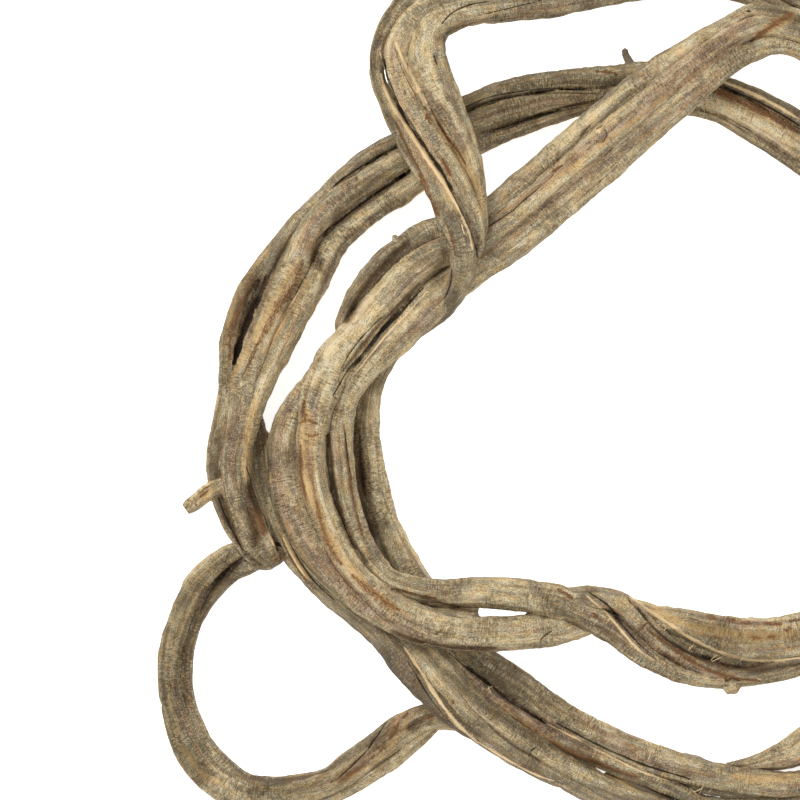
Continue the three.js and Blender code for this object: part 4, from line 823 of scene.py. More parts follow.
class WreathColours(bpy.types.PropertyGroup):
    """The colours of the bark."""
    low: bpy.props.FloatVectorProperty(
        name="Low tone", description="The darkest plain bark",
        subtype="COLOR", size=3, default=linear(120, 107, 85))
    khaki: bpy.props.FloatVectorProperty(
        name="Khaki", description="Weathered bark on the sides of the ribs",
        subtype="COLOR", size=3, default=linear(150, 137, 107))
    tan: bpy.props.FloatVectorProperty(
        name="Tan", description="Bark on the faces of the ribs",
        subtype="COLOR", size=3, default=linear(188, 165, 122))
    straw: bpy.props.FloatVectorProperty(
        name="Straw", description="The lightest bark",
        subtype="COLOR", size=3, default=linear(223, 203, 160))
    worn: bpy.props.FloatVectorProperty(
        name="Worn orange", description="Bark rubbed bare along the crests",
        subtype="COLOR", size=3, default=linear(214, 177, 120))
    cream: bpy.props.FloatVectorProperty(
        name="Cream", description="Bare wood along the torn edges",
        subtype="COLOR", size=3, default=linear(236, 206, 158))
    rust: bpy.props.FloatVectorProperty(
        name="Rust", description="Inner bark that shows in stains and specks",
        subtype="COLOR", size=3, default=linear(114, 78, 50))
    stain: bpy.props.FloatVectorProperty(
        name="Stain veil", description="Multiplies the bark round a rust stain",
        subtype="COLOR", size=3, default=linear(212, 184, 158))
    shade: bpy.props.FloatVectorProperty(
        name="Speck brown", description="Dark specks and scars",
        subtype="COLOR", size=3, default=linear(84, 66, 50))
    # Slot brown is painted shade: the dark deep in the slots and cracks and in the deepest hollows.
    slot: bpy.props.FloatVectorProperty(
        name="Slot brown", description="Dirt deep in the slots and cracks",
        subtype="COLOR", size=3, default=linear(58, 45, 33))
    violet: bpy.props.FloatVectorProperty(
        name="Violet veil", description="Multiplies the bark where it is violet grey",
        subtype="COLOR", size=3, default=linear(226, 213, 217))
    # The dusk veil is partly painted shade, where the bark lies low, behind others or under an edge, and
    # partly weathered dark bark.
    shaded_and_weathered: bpy.props.FloatVectorProperty(
        name="Dusk veil", description="Multiplies the bark where it is weathered dark",
        subtype="COLOR", size=3, default=linear(204, 201, 194))
    # The hollow veil is painted shade in the valleys, under the shade marks and in the hollows; it also
    # darkens the lines between the cross rings.
    hollow: bpy.props.FloatVectorProperty(
        name="Hollow veil", description="Multiplies the bark in its valleys",
        subtype="COLOR", size=3, default=linear(150, 132, 116))


class WreathStage(bpy.types.PropertyGroup):
    """The floor, the lights and the camera."""
    floor_side: bpy.props.FloatProperty(
        name="Floor side", description="Side of the square floor", default=8, unit="LENGTH")
    floor_colour: bpy.props.FloatVectorProperty(
        name="Floor colour", description="Colour of the plain floor",
        subtype="COLOR", size=3, default=(0.9, 0.9, 0.9))
    floor_glow: bpy.props.FloatProperty(
        name="Floor glow", description="Light that the floor gives off itself", default=0.75)
    sky: bpy.props.FloatProperty(
        name="Sky", description="Strength of the even light from all sides", default=0.78)
    key: bpy.props.FloatProperty(
        name="Key light", description="Strength of the soft light from the upper left", default=1.97)
    fill: bpy.props.FloatProperty(
        name="Fill light", description="Strength of the weak light from the lower right", default=0.5)
    camera_height: bpy.props.FloatProperty(
        name="Camera height", description="Height of the camera above the floor", default=6, unit="LENGTH")
    view_side: bpy.props.FloatProperty(
        name="View side", description="Width of the picture at the wreath", default=0.4, unit="LENGTH")


def deselect_all():
    """Nothing stays selected, so that the next operator acts on its own piece."""
    if bpy.context.object and bpy.context.object.mode != "OBJECT":
        bpy.ops.object.mode_set(mode="OBJECT")
    bpy.ops.object.select_all(action="DESELECT")


def make_active(piece):
    """Selects one piece and makes it the one that operators work on."""
    deselect_all()
    piece.select_set(True)
    bpy.context.view_layer.objects.active = piece


def route_samples(rows, per_row=ROUTE_SAMPLES):
    """Close samples along a rib's curve: its points, directions, widths and depths in metres."""
    table = np.array(rows, float)
    table[:, :2] -= (CENTRE_X_MM, CENTRE_Y_MM)
    table *= MM
    points = table[:, :3]
    padded = np.vstack([2 * points[0] - points[1], points, 2 * points[-1] - points[-2]])
    share = np.linspace(0, 1, per_row, endpoint=False)[:, None]
    places, sizes = [], []
    for row in range(len(points) - 1):
        before, start, end, after = padded[row:row + 4]
        gaps = [max(np.linalg.norm(b - a) / MM, TINY) ** 0.5
                for a, b in ((before, start), (start, end), (end, after))]
        leave = (start - before) / gaps[0] - (end - before) / (gaps[0] + gaps[1]) + (end - start) / gaps[1]
        reach = (end - start) / gaps[1] - (after - start) / (gaps[1] + gaps[2]) + (after - end) / gaps[2]
        leave, reach = leave * gaps[1], reach * gaps[1]
        cubic = 2 * start - 2 * end + leave + reach
        square = -3 * start + 3 * end - 2 * leave - reach
        places.append(start + share * (leave + share * (square + share * cubic)))
        sizes.append(table[row, 3:] + share * (table[row + 1, 3:] - table[row, 3:]))
    places = np.vstack([*places, points[-1:]])
    sizes = np.vstack([*sizes, table[-1:, 3:]])
    directions = np.gradient(places, axis=0)
    directions /= np.linalg.norm(directions, axis=1)[:, None]
    return places, directions, sizes


def in_view(places):
    """Which places show in the picture."""
    left, right = [(side - CENTRE_X_MM) * MM for side in VIEW_X_MM]
    low, high = [(side - CENTRE_Y_MM) * MM for side in VIEW_Y_MM]
    edge = VIEW_EDGE_MM * MM
    inside = (places[:, 0] > left - edge) & (places[:, 0] < right + edge)
    inside &= (places[:, 1] > low - edge) & (places[:, 1] < high + edge)
    return inside


def stations(rows, bark):
    """A rib's sections, close together where they show: point, direction, size and way along."""
    places, directions, sizes = route_samples(rows)
    steps = np.linalg.norm(np.diff(places, axis=0), axis=1)
    along = np.concatenate([[0], np.cumsum(steps)])
    cells = np.where(in_view(places), bark.cell, bark.coarse_cell)
    passed = np.concatenate([[0], np.cumsum(steps / cells[:-1])])
    count = max(int(passed[-1]), FEWEST_SECTIONS)
    ways = np.interp(np.linspace(0, passed[-1], count + 1), passed, along)
    blend = [np.stack([np.interp(ways, along, column) for column in values.T], axis=1)
             for values in (places, directions, sizes)]
    blend[1] /= np.linalg.norm(blend[1], axis=1)[:, None]
    return (*blend, ways)


def random_wave(draw, along, lengths):
    """A wave along a rib, of a random length in a range."""
    return np.sin(TURN * along / draw.uniform(*lengths) + draw.uniform(*WAVE_STARTS))


def sway(draw, along, most):
    """A slow random wander along a rib, at most this much to either side."""
    waves = [random_wave(draw, along, SWAY_WAVES) for _ in range(SWAY_COUNT)]
    return most * sum(waves) / SWAY_COUNT


def corners(draw, along, angle, order):
    """Blunt corners that run along a rib, 1 on a corner and 0 in the middle of a flat."""
    turned = angle + sway(draw, along, CORNER_SWAY)
    return 1 - np.abs(np.sin(order * turned / 2 + draw.uniform(0, math.pi)))


def lumps(draw, along, angle):
    """Slow swellings of a rib, from -1 to 1."""
    total = 0
    for wave in LUMP_WAVES:
        turned = draw.integers(0, 4) * angle
        swell = np.cos(TURN * along / wave + turned + draw.uniform(*WAVE_STARTS))
        total = total + swell / len(LUMP_WAVES)
    return total


def grain(draw, shape, along_rounds, round_rounds):
    """Random bumps drawn out along a rib, mostly from -2 to 2."""
    values = draw.normal(size=(shape[0] - 1, shape[1]))
    for axis, rounds in ((0, round_rounds), (1, along_rounds)):
        for _ in range(rounds):
            values = (np.roll(values, 1, axis) + 2 * values + np.roll(values, -1, axis)) / 4
    values /= values.std()
    return np.vstack([values, values[:1]])


def creases(draw, along, angle, radius):
    """Cracks along the top of a rib, 1 in the middle of a crack and 0 away from it."""
    depth = 0
    for _ in range(CRACKS_PER_RIB):
        middle = draw.uniform(*CRACK_SIDES) * math.pi + sway(draw, along, CRACK_SWAY)
        fade = np.clip(random_wave(draw, along, CRACK_WAVES) * CRACK_GAIN, 0, 1)
        away = np.abs((angle - middle + math.pi) % TURN - math.pi) * radius
        depth = np.maximum(depth, np.exp(-(away / CRACK_HALF_WIDTH) ** 2) * fade)
    return depth


def rib_relief(draw, angle, ways, sizes, bark):
    """How far a rib's skin stands out, its corners and its long grain, each by side and section."""
    along = ways[None, :]
    radius = sizes.mean(axis=1)[None, :] / 2
    shape = (len(angle), len(ways))
    crests = sum([share * corners(draw, along, angle, order) for order, share in CORNERS])
    strands = grain(draw, shape, *LONG_GRAIN)
    relief = bark.ridge * (CORNER_HEIGHT * crests - 1) + bark.lump * (lumps(draw, along, angle) - LUMP_MIDDLE)
    relief = relief + bark.fibre * strands + bark.fibre * SHORT_SHARE * grain(draw, shape, *SHORT_GRAIN)
    relief = relief - bark.crease * creases(draw, along, angle, radius)
    fullness = np.clip(sizes.min(axis=1) / FULL_RELIEF, LEAST_RELIEF, 1)
    return relief * fullness[None, :] + bark.proud, crests, strands


def squared(wave):
    """A cosine or sine made blunter, so that an oval section gets flatter faces."""
    return np.sign(wave) * np.abs(wave) ** SECTION_POWER


def closed_ends(places, sizes, ways):
    """How far each section of a rib is opened and where its middle is: a dome if thin, else a flat end."""
    if sizes.max() < THIN_RIB:
        from_end = np.minimum(ways, ways[-1] - ways) / (sizes.min(axis=1) / 2)
        return np.sqrt(np.clip(1 - np.clip(1 - from_end, 0, 1) ** 2, 0, 1)), places
    open_share = np.ones(len(ways))
    open_share[:len(END_OPENINGS)] = END_OPENINGS
    open_share[-len(END_OPENINGS):] = END_OPENINGS[::-1]
    centres = places.copy()
    centres[[1, -2]] = places[[0, -1]]
    return open_share, centres


def rib_skin(places, directions, sizes, ways, angle, relief):
    """Where a rib's skin is, by side and section, with nothing under the floor."""
    across = np.stack([directions[:, 1], -directions[:, 0], np.zeros(len(ways))], axis=1)
    across /= np.maximum(np.linalg.norm(across, axis=1), TINY)[:, None]
    upward = np.cross(across, directions)
    open_share, centres = closed_ends(places, sizes, ways)
    wide, deep = [(size[None, :] / 2 + relief) * open_share[None, :] for size in sizes.T]
    skin = (centres[None] + (squared(np.cos(angle)) * wide)[..., None] * across[None]
            + (squared(np.sin(angle)) * deep)[..., None] * upward[None])
    skin[..., 2] = np.maximum(skin[..., 2], 0)
    return skin


def lay_maps(rib, ways, girth, number, tones, heights):
    """Lays a rib's maps: "bark", in metres and moved on by its number, and "tone", its tone and height."""
    flat = rib.data.uv_layers.active
    flat.name = "bark"
    spots = np.empty(len(flat.data) * 2, np.float32)
    flat.data.foreach_get("uv", spots)
    spots = spots.reshape(-1, 2)
    section = np.rint(spots[:, 0] * (len(ways) - 1)).astype(int)
    side = np.rint(spots[:, 1] * (len(heights) - 1)).astype(int)
    spots[:, 0] = ways[section] + number
    spots[:, 1] *= girth
    flat.data.foreach_set("uv", spots.ravel())
    lights = np.stack([tones[section], heights[side, section]], axis=1).astype(np.float32)
    rib.data.uv_layers.new(name="tone").data.foreach_set("uv", lights.ravel())


def grow_rib(name, rows, tone, number, bark):
    """Rolls a grid into one rib along its route, with ridges, swellings and cracks in its skin."""
    draw = np.random.default_rng([bark.seed, number])
    places, directions, sizes, ways = stations(rows, bark)
    girth = math.pi * sizes.mean(axis=1).max()
    sides = max(int(girth / bark.cell * SIDES_PER_CELL), FEWEST_SIDES)
    deselect_all()
    bpy.ops.mesh.primitive_grid_add(x_subdivisions=len(ways) - 1, y_subdivisions=sides, size=1,
                                    calc_uvs=True)
    rib = bpy.context.object
    rib.name = name
    turns = np.linspace(0, 1, sides + 1)[:, None]
    angle = -math.pi / 2 + TURN * (turns + FINER_TOP * np.sin(TURN * turns) / TURN)
    relief, crests, strands = rib_relief(draw, angle, ways, sizes, bark)
    skin = rib_skin(places, directions, sizes, ways, angle, relief)
    rib.data.vertices.foreach_set("co", skin.reshape(-1).astype(np.float32))
    heights = np.clip(CREST_LIGHT * crests + STRAND_LIGHT * strands + FLAT_LIGHT, 0, 1)
    lay_maps(rib, ways, girth, number, tone + sway(draw, ways, TONE_SWAY), heights)
    bpy.ops.object.mode_set(mode="EDIT")
    bpy.ops.mesh.select_all(action="SELECT")
    bpy.ops.mesh.remove_doubles(threshold=TINY)
    bpy.ops.mesh.normals_make_consistent(inside=False)
    bpy.ops.object.mode_set(mode="OBJECT")
    return rib


def fuse(ribs, name):
    """Joins the ribs of a vine into one closed piece and removes the loose ones."""
    whole, rest = ribs[0], ribs[1:]
    others = bpy.data.collections.new(name + "_ribs")
    bpy.context.scene.collection.children.link(others)
    for rib in rest:
        for home in list(rib.users_collection):
            home.objects.unlink(rib)
        others.objects.link(rib)
    make_active(whole)
    bpy.ops.object.modifier_add(type="BOOLEAN")
    join = whole.modifiers[-1]
    join.operation = "UNION"
    join.operand_type = "COLLECTION"
    join.collection = others
    join.solver = "MANIFOLD"
    bpy.ops.object.modifier_apply(modifier=join.name)
    for rib in rest:
        bpy.data.objects.remove(rib)
    bpy.data.collections.remove(others)
    whole.name = name
    whole.data.name = name
    return whole


def read_vertices(mesh):
    """The places and normals of a mesh's vertices."""
    spots = np.empty(len(mesh.vertices) * 3, np.float32)
    facing = np.empty_like(spots)
    mesh.vertices.foreach_get("co", spots)
    mesh.vertex_normals.foreach_get("vector", facing)
    return spots.reshape(-1, 3).astype(float), facing.reshape(-1, 3).astype(float)


def valley_weights(mesh):
    """How much each vertex lies in a sharp valley, from 0 to 1."""
    spots, facing = read_vertices(mesh)
    count = len(spots)
    pairs = np.empty(len(mesh.edges) * 2, np.int32)
    mesh.edges.foreach_get("vertices", pairs)
    near, far = pairs.reshape(-1, 2).T
    near, far = np.concatenate([near, far]), np.concatenate([far, near])
    steps = spots[far] - spots[near]
    rise = (steps * facing[near]).sum(axis=1) / np.maximum(np.linalg.norm(steps, axis=1), TINY)
    rise = np.bincount(near, rise, count) / np.bincount(near, minlength=count)
    weight = np.clip(rise * VALLEY_GAIN - VALLEY_START, 0, 1)
    for _ in range(VALLEY_RINGS):
        wider = weight.copy()
        np.maximum.at(wider, near, VALLEY_SPREAD * weight[far])
        weight = wider
    return weight


def soften_valleys(vine, rounds):
    """Rounds the sharp valleys where the ribs of a vine meet."""
    level_of = np.rint(valley_weights(vine.data) * VALLEY_LEVELS)
    group = vine.vertex_groups.new(name="valley")
    for level in range(1, VALLEY_LEVELS + 1):
        group.add(np.flatnonzero(level_of == level).tolist(), level / VALLEY_LEVELS, "REPLACE")
    make_active(vine)
    bpy.ops.object.modifier_add(type="SMOOTH")
    smooth = vine.modifiers[-1]
    smooth.factor = 0.5
    smooth.iterations = rounds
    smooth.vertex_group = group.name
    bpy.ops.object.modifier_apply(modifier=smooth.name)
    vine.vertex_groups.clear()


def move_vertices(mesh, spots):
    """Puts a mesh's vertices at new places, held inside the frame's box."""
    spots = np.clip(spots, np.array(CAD_BOX[0]) + BOX_MARGIN, np.array(CAD_BOX[1]) - BOX_MARGIN)
    mesh.vertices.foreach_set("co", spots.ravel().astype(np.float32))


def distance_to_line(spots, line):
    """How far each spot lies from a line of points seen from above, and how far along it."""
    nearest = np.full(len(spots), np.inf)
    place = np.zeros(len(spots))
    for index, (start, end) in enumerate(zip(line[:-1], line[1:])):
        span = end - start
        share = np.clip(((spots - start) @ span) / max(span @ span, TINY ** 2), 0, 1)
        away = np.linalg.norm(spots - start - share[:, None] * span, axis=1)
        place = np.where(away < nearest, index + share, place)
        nearest = np.minimum(nearest, away)
    return nearest, place / (len(line) - 1)


def mark_lines(marks):
    """The marks as smooth lines in metres, each with its kind and width."""
    for kind, width, points in marks:
        rows = [(x, y, 0, 0, 0) for x, y in points]
        yield kind, width * MM, route_samples(rows, MARK_SAMPLES)[0][:, :2]


def near_line(spots, upward, line, reach):
    """The spots on the upper side that may lie within reach of a line."""
    inside = (spots[:, :2] > line.min(axis=0) - reach).all(axis=1)
    inside &= (spots[:, :2] < line.max(axis=0) + reach).all(axis=1)
    return np.flatnonzero(inside & (upward > FACING_UP))


def refine_near(vine, marks):
    """Halves the bark's faces along the fine marks, so that their edges are sharp."""
    mesh = vine.data
    count = len(mesh.polygons)
    centres = np.empty(count * 3, np.float32)
    upward = np.empty(count * 3, np.float32)
    mesh.polygons.foreach_get("center", centres)
    mesh.polygons.foreach_get("normal", upward)
    centres, upward = centres.reshape(-1, 3), upward.reshape(-1, 3)[:, 2]
    chosen = np.zeros(count, bool)
    for kind, width, line in mark_lines(marks):
        if MARK_KINDS[kind][0] == "marks" and width < FINE_MARK:
            near = near_line(centres, upward, line, width)
            away = distance_to_line(centres[near, :2], line)[0]
            chosen[near] |= away < FINE_SHARE * width + FINE_RIM
    mesh.vertices.foreach_set("select", np.zeros(len(mesh.vertices), bool))
    mesh.edges.foreach_set("select", np.zeros(len(mesh.edges), bool))
    mesh.polygons.foreach_set("select", chosen)
    make_active(vine)
    bpy.ops.object.mode_set(mode="EDIT")
    bpy.ops.mesh.select_mode(type="FACE")
    bpy.ops.mesh.subdivide(number_cuts=1)
    bpy.ops.object.mode_set(mode="OBJECT")


def paint_marks(vine, marks, draw):
    """Cuts the slots, raises the torn edges, and paints the stains, the bands and the painted shade along the
    vine's marks.
    """
    mesh = vine.data
    spots, facing = read_vertices(mesh)
    rough = draw.uniform(*FRAYED, len(spots))
    paints = {layer: np.zeros((len(spots), 4)) for layer in ("marks", "bands")}
    shift = np.zeros(len(spots))
    for kind, width, line in mark_lines(marks):
        near = near_line(spots, facing[:, 2], line, MARK_REACH * width)
        away, place = distance_to_line(spots[near, :2], line)
        slow = np.sin(place * len(line) + draw.uniform(*MARK_STARTS))
        quick = np.sin(place * len(line) * QUICKER)
        wavering = SLOW_WAVER * slow + QUICK_WAVER * quick
        swelling = END_SHARE + (1 - END_SHARE) * np.sin(math.pi * place) ** 0.5
        half = width / 2 * swelling * (1 + WAVER * wavering)
        fall = np.exp(-(away * rough[near] / half) ** 2)
        layer, channel, lift, strength = MARK_KINDS[kind]
        paints[layer][near, channel] = np.maximum(paints[layer][near, channel], strength * fall)
        shift[near] += lift * MM * fall
    move_vertices(mesh, spots + facing * shift[:, None])
    make_active(vine)
    for layer, paint in paints.items():
        bpy.ops.geometry.color_attribute_add(name=layer, domain="POINT", data_type="FLOAT_COLOR",
                                             color=(0, 0, 0, 0))
        mesh.color_attributes[layer].data.foreach_set("color", paint.ravel().astype(np.float32))


def paint_cavity_shade(vine):
    """Finds the hollows of the bark and its sharp edges, dark and light in a layer of their own: painted
    shade, darkest in the deepest hollows.
    """
    make_active(vine)
    bpy.ops.geometry.color_attribute_add(name="cavity_shade", domain="CORNER", data_type="BYTE_COLOR",
                                         color=(1, 1, 1, 1))
    vine.data.color_attributes.active_color_name = "cavity_shade"
    bpy.ops.object.mode_set(mode="VERTEX_PAINT")
    bpy.ops.paint.vertex_color_dirt(blur_strength=1, blur_iterations=1, clean_angle=math.pi,
                                    dirt_angle=0, normalize=False)
    bpy.ops.object.mode_set(mode="OBJECT")


def node(tree, kind, **settings):
    """Adds a node and sets its options."""
    made = tree.nodes.new(kind)
    for key, value in settings.items():
        setattr(made, key, value)
    return made


def noise(tree, vector, scale, detail, roughness):
    """A noise of the given scale over a vector; gives its value."""
    made = node(tree, "ShaderNodeTexNoise")
    made.inputs["Scale"].default_value = scale
    made.inputs["Detail"].default_value = detail
    made.inputs["Roughness"].default_value = roughness
    tree.links.new(vector, made.inputs["Vector"])
    return made.outputs["Fac"]


def stretched(tree, vector, along, around):
    """A map of the bark, scaled along the rib and around it."""
    made = node(tree, "ShaderNodeMapping")
    made.inputs["Scale"].default_value = (along, around, 1)
    tree.links.new(vector, made.inputs["Vector"])
    return made.outputs["Vector"]


def map_noise(tree, vector, along, around, detail, roughness):
    """A noise on a map of the bark, scaled along the rib and around it."""
    return noise(tree, stretched(tree, vector, along, around), 1, detail, roughness)


def maths(tree, operation, *values):
    """A maths node on numbers or sockets; gives its value."""
    made = node(tree, "ShaderNodeMath", operation=operation)
    for socket, value in zip(made.inputs, values):
        if isinstance(value, bpy.types.NodeSocket):
            tree.links.new(value, socket)
        else:
            socket.default_value = value
    return made.outputs[0]


def times(tree, *values):
    """Values multiplied, each by the next."""
    total = values[0]
    for value in values[1:]:
        total = maths(tree, "MULTIPLY", total, value)
    return total


def heaped(tree, total, shares):
    """A value with shares of others added to it."""
    for value, share in shares:
        total = maths(tree, "MULTIPLY_ADD", value, share, total)
    return total


def spread(tree, value, low, high, to_low=0.0, to_high=1.0):
    """A value moved from one range to another and kept inside it."""
    made = node(tree, "ShaderNodeMapRange", interpolation_type="SMOOTHSTEP")
    for index, number in enumerate((low, high, to_low, to_high), start=1):
        made.inputs[index].default_value = number
    tree.links.new(value, made.inputs[0])
    return made.outputs[0]


def evened(tree, value, low, high):
    """A noise drawn out so that it fills the range from -1 to 1."""
    return spread(tree, value, low, high, -1, 1)


def laid(tree, under, share, over, strength, blend):
    """A plain colour laid over another by a share, at most this strong."""
    made = node(tree, "ShaderNodeMix", data_type="RGBA", blend_type=blend, clamp_factor=True)
    tree.links.new(times(tree, share, strength), made.inputs[0])
    tree.links.new(under, made.inputs[6])
    made.inputs[7].default_value = (*over, 1)
    return made.outputs[2]


def painted(tree, layer, names):
    """The four channels of a painted layer, by name."""
    paint = node(tree, "ShaderNodeAttribute", attribute_name=layer)
    parts = node(tree, "ShaderNodeSeparateColor")
    tree.links.new(paint.outputs["Color"], parts.inputs[0])
    return dict(zip(names, (*parts.outputs[:3], paint.outputs["Alpha"])))


def mesh_inputs(tree):
    """What a vine's mesh brings to its bark, by name: maps, places, marks, bands and the painted shade of its
    hollows.
    """
    tone = node(tree, "ShaderNodeSeparateXYZ")
    tree.links.new(node(tree, "ShaderNodeUVMap", uv_map="tone").outputs["UV"], tone.inputs[0])
    return {
        "flat": node(tree, "ShaderNodeUVMap", uv_map="bark").outputs["UV"],
        "place": node(tree, "ShaderNodeTexCoord").outputs["Object"],
        "cavity_shade": node(tree, "ShaderNodeAttribute", attribute_name="cavity_shade").outputs["Fac"],
        "tone": tone.outputs[0],
        "height": tone.outputs[1],
        **painted(tree, "marks", ("lip", "rust", "slot", "shade")),
        **painted(tree, "bands", ("shaded_and_weathered", "worn", "violet", "pale")),
    }


def bark_noises(tree, mesh):
    """The noises of the bark and the edges of its crackle, by name."""
    bend = node(tree, "ShaderNodeCombineXYZ")
    tree.links.new(times(tree, map_noise(tree, mesh["flat"], *BEND_NOISE), BEND), bend.inputs[1])
    bent = node(tree, "ShaderNodeVectorMath", operation="ADD")
    tree.links.new(mesh["flat"], bent.inputs[0])
    tree.links.new(bend.outputs[0], bent.inputs[1])
    cells = node(tree, "ShaderNodeTexVoronoi", feature="DISTANCE_TO_EDGE")
    cells.inputs["Scale"].default_value = 1
    tree.links.new(stretched(tree, bent.outputs[0], *CRACKLE_CELLS), cells.inputs["Vector"])
    return {
        "rings": map_noise(tree, mesh["flat"], *RING_NOISE),
        "cells": cells.outputs["Distance"],
        **{name: map_noise(tree, bent.outputs[0], *values) for name, values in SKIN_NOISES.items()},
        **{name: noise(tree, mesh["place"], *values) for name, values in SPACE_NOISES.items()},
    }


def bark_tone(tree, mesh, noises, lightness):
    """How light the bark is in long bands, from the darkest at 0 to straw at 1."""
    tone = heaped(tree, maths(tree, "ADD", mesh["tone"], lightness),
                  [(maths(tree, "SUBTRACT", mesh["height"], 0.5), 0.3)])
    shares = (("broad", 0.14), ("streaks", 0.12), ("patches", 0.1), ("mottle", 0.1))
    tone = heaped(tree, tone, [(evened(tree, noises[name], 0.32, 0.68), share) for name, share in shares])
    return heaped(tree, tone, [(mesh["pale"], 0.26)])


def bark_grain(tree, noises, rings):
    """The fine light and dark of the bark, round 0."""
    shares = (("specks", 0.16), ("grit", 0.22), ("fibres", 0.15))
    return heaped(tree, times(tree, rings, 0.15),
                  [(evened(tree, noises[name], 0.35, 0.65), share) for name, share in shares])


def tone_ramp(tree, value, colours):
    """Bark colours from dark over khaki and tan to straw."""
    made = node(tree, "ShaderNodeValToRGB")
    stops = ((0.12, colours.low), (0.42, colours.khaki), (0.66, colours.tan), (0.95, colours.straw))
    while len(made.color_ramp.elements) < len(stops):
        made.color_ramp.elements.new(0.5)
    for element, (place, colour) in zip(made.color_ramp.elements, stops):
        element.position = place
        element.color = (*colour, 1)
    tree.links.new(value, made.inputs[0])
    return made.outputs[0]


def warmed(tree, colour, warmth):
    """A colour made redder and fuller, or greener and greyer, by a noise."""
    made = node(tree, "ShaderNodeHueSaturation")
    tree.links.new(spread(tree, warmth, 0.34, 0.66, 0.51, 0.492), made.inputs["Hue"])
    tree.links.new(spread(tree, warmth, 0.34, 0.66, 0.76, 1.14), made.inputs["Saturation"])
    tree.links.new(colour, made.inputs["Color"])
    return made.outputs["Color"]


def wear_shares(tree, mesh, noises, fine, ring_patch):
    """Where the plain bark is worn, violet, ringed, crackled, rusty and scarred, by name."""
    rubbed = times(tree, spread(tree, noises["worn"], 0.52, 0.66),
                   spread(tree, mesh["height"], 0.35, 0.75), 0.5)
    return {
        "worn": times(tree, maths(tree, "MAXIMUM", rubbed, mesh["worn"]),
                      spread(tree, fine, -0.24, 0.1, 0.4, 1.0)),
        "violet": maths(tree, "MAXIMUM", spread(tree, noises["violet"], 0.52, 0.66), mesh["violet"]),
        "ring": times(tree, spread(tree, noises["rings"], 0.42, 0.3), ring_patch),
        "crackle": times(tree, spread(tree, noises["cells"], 0.16, 0.04),
                         spread(tree, noises["crackle_place"], 0.53, 0.62),
                         spread(tree, noises["grit"], 0.42, 0.55)),
        "rust": times(tree, spread(tree, noises["rust"], 0.58, 0.66),
                      spread(tree, noises["rust_place"], 0.46, 0.66)),
        "scars": spread(tree, noises["scars"], 0.61, 0.7),
    }


def mark_shares(tree, mesh, noises, fine):
    """Where the painted lips, stains and slots and the painted shade of the hollows lie, with broken edges,
    by name.
    """
    broken = heaped(tree, mesh["rust"], [(maths(tree, "SUBTRACT", noises["torn"], 0.5), 3.6)])
    return {
        "lip": spread(tree, heaped(tree, mesh["lip"], [(noises["specks"], 0.6)]), 0.6, 1.1),
        "stain": spread(tree, mesh["rust"], 0.1, 1.0),
        "rust": times(tree, spread(tree, broken, 0.6, 0.85), spread(tree, mesh["rust"], 0.08, 0.4)),
        "slot": spread(tree, heaped(tree, mesh["slot"], [(fine, 0.5)]), 0.35, 0.85),
        # Painted shade in the hollows of the bark: a veil in the shallow ones, slot brown in the deepest.
        "hollow": spread(tree, mesh["cavity_shade"], 0.495, 0.45),
        "cavity_shade": spread(tree, mesh["cavity_shade"], 0.435, 0.36),
    }


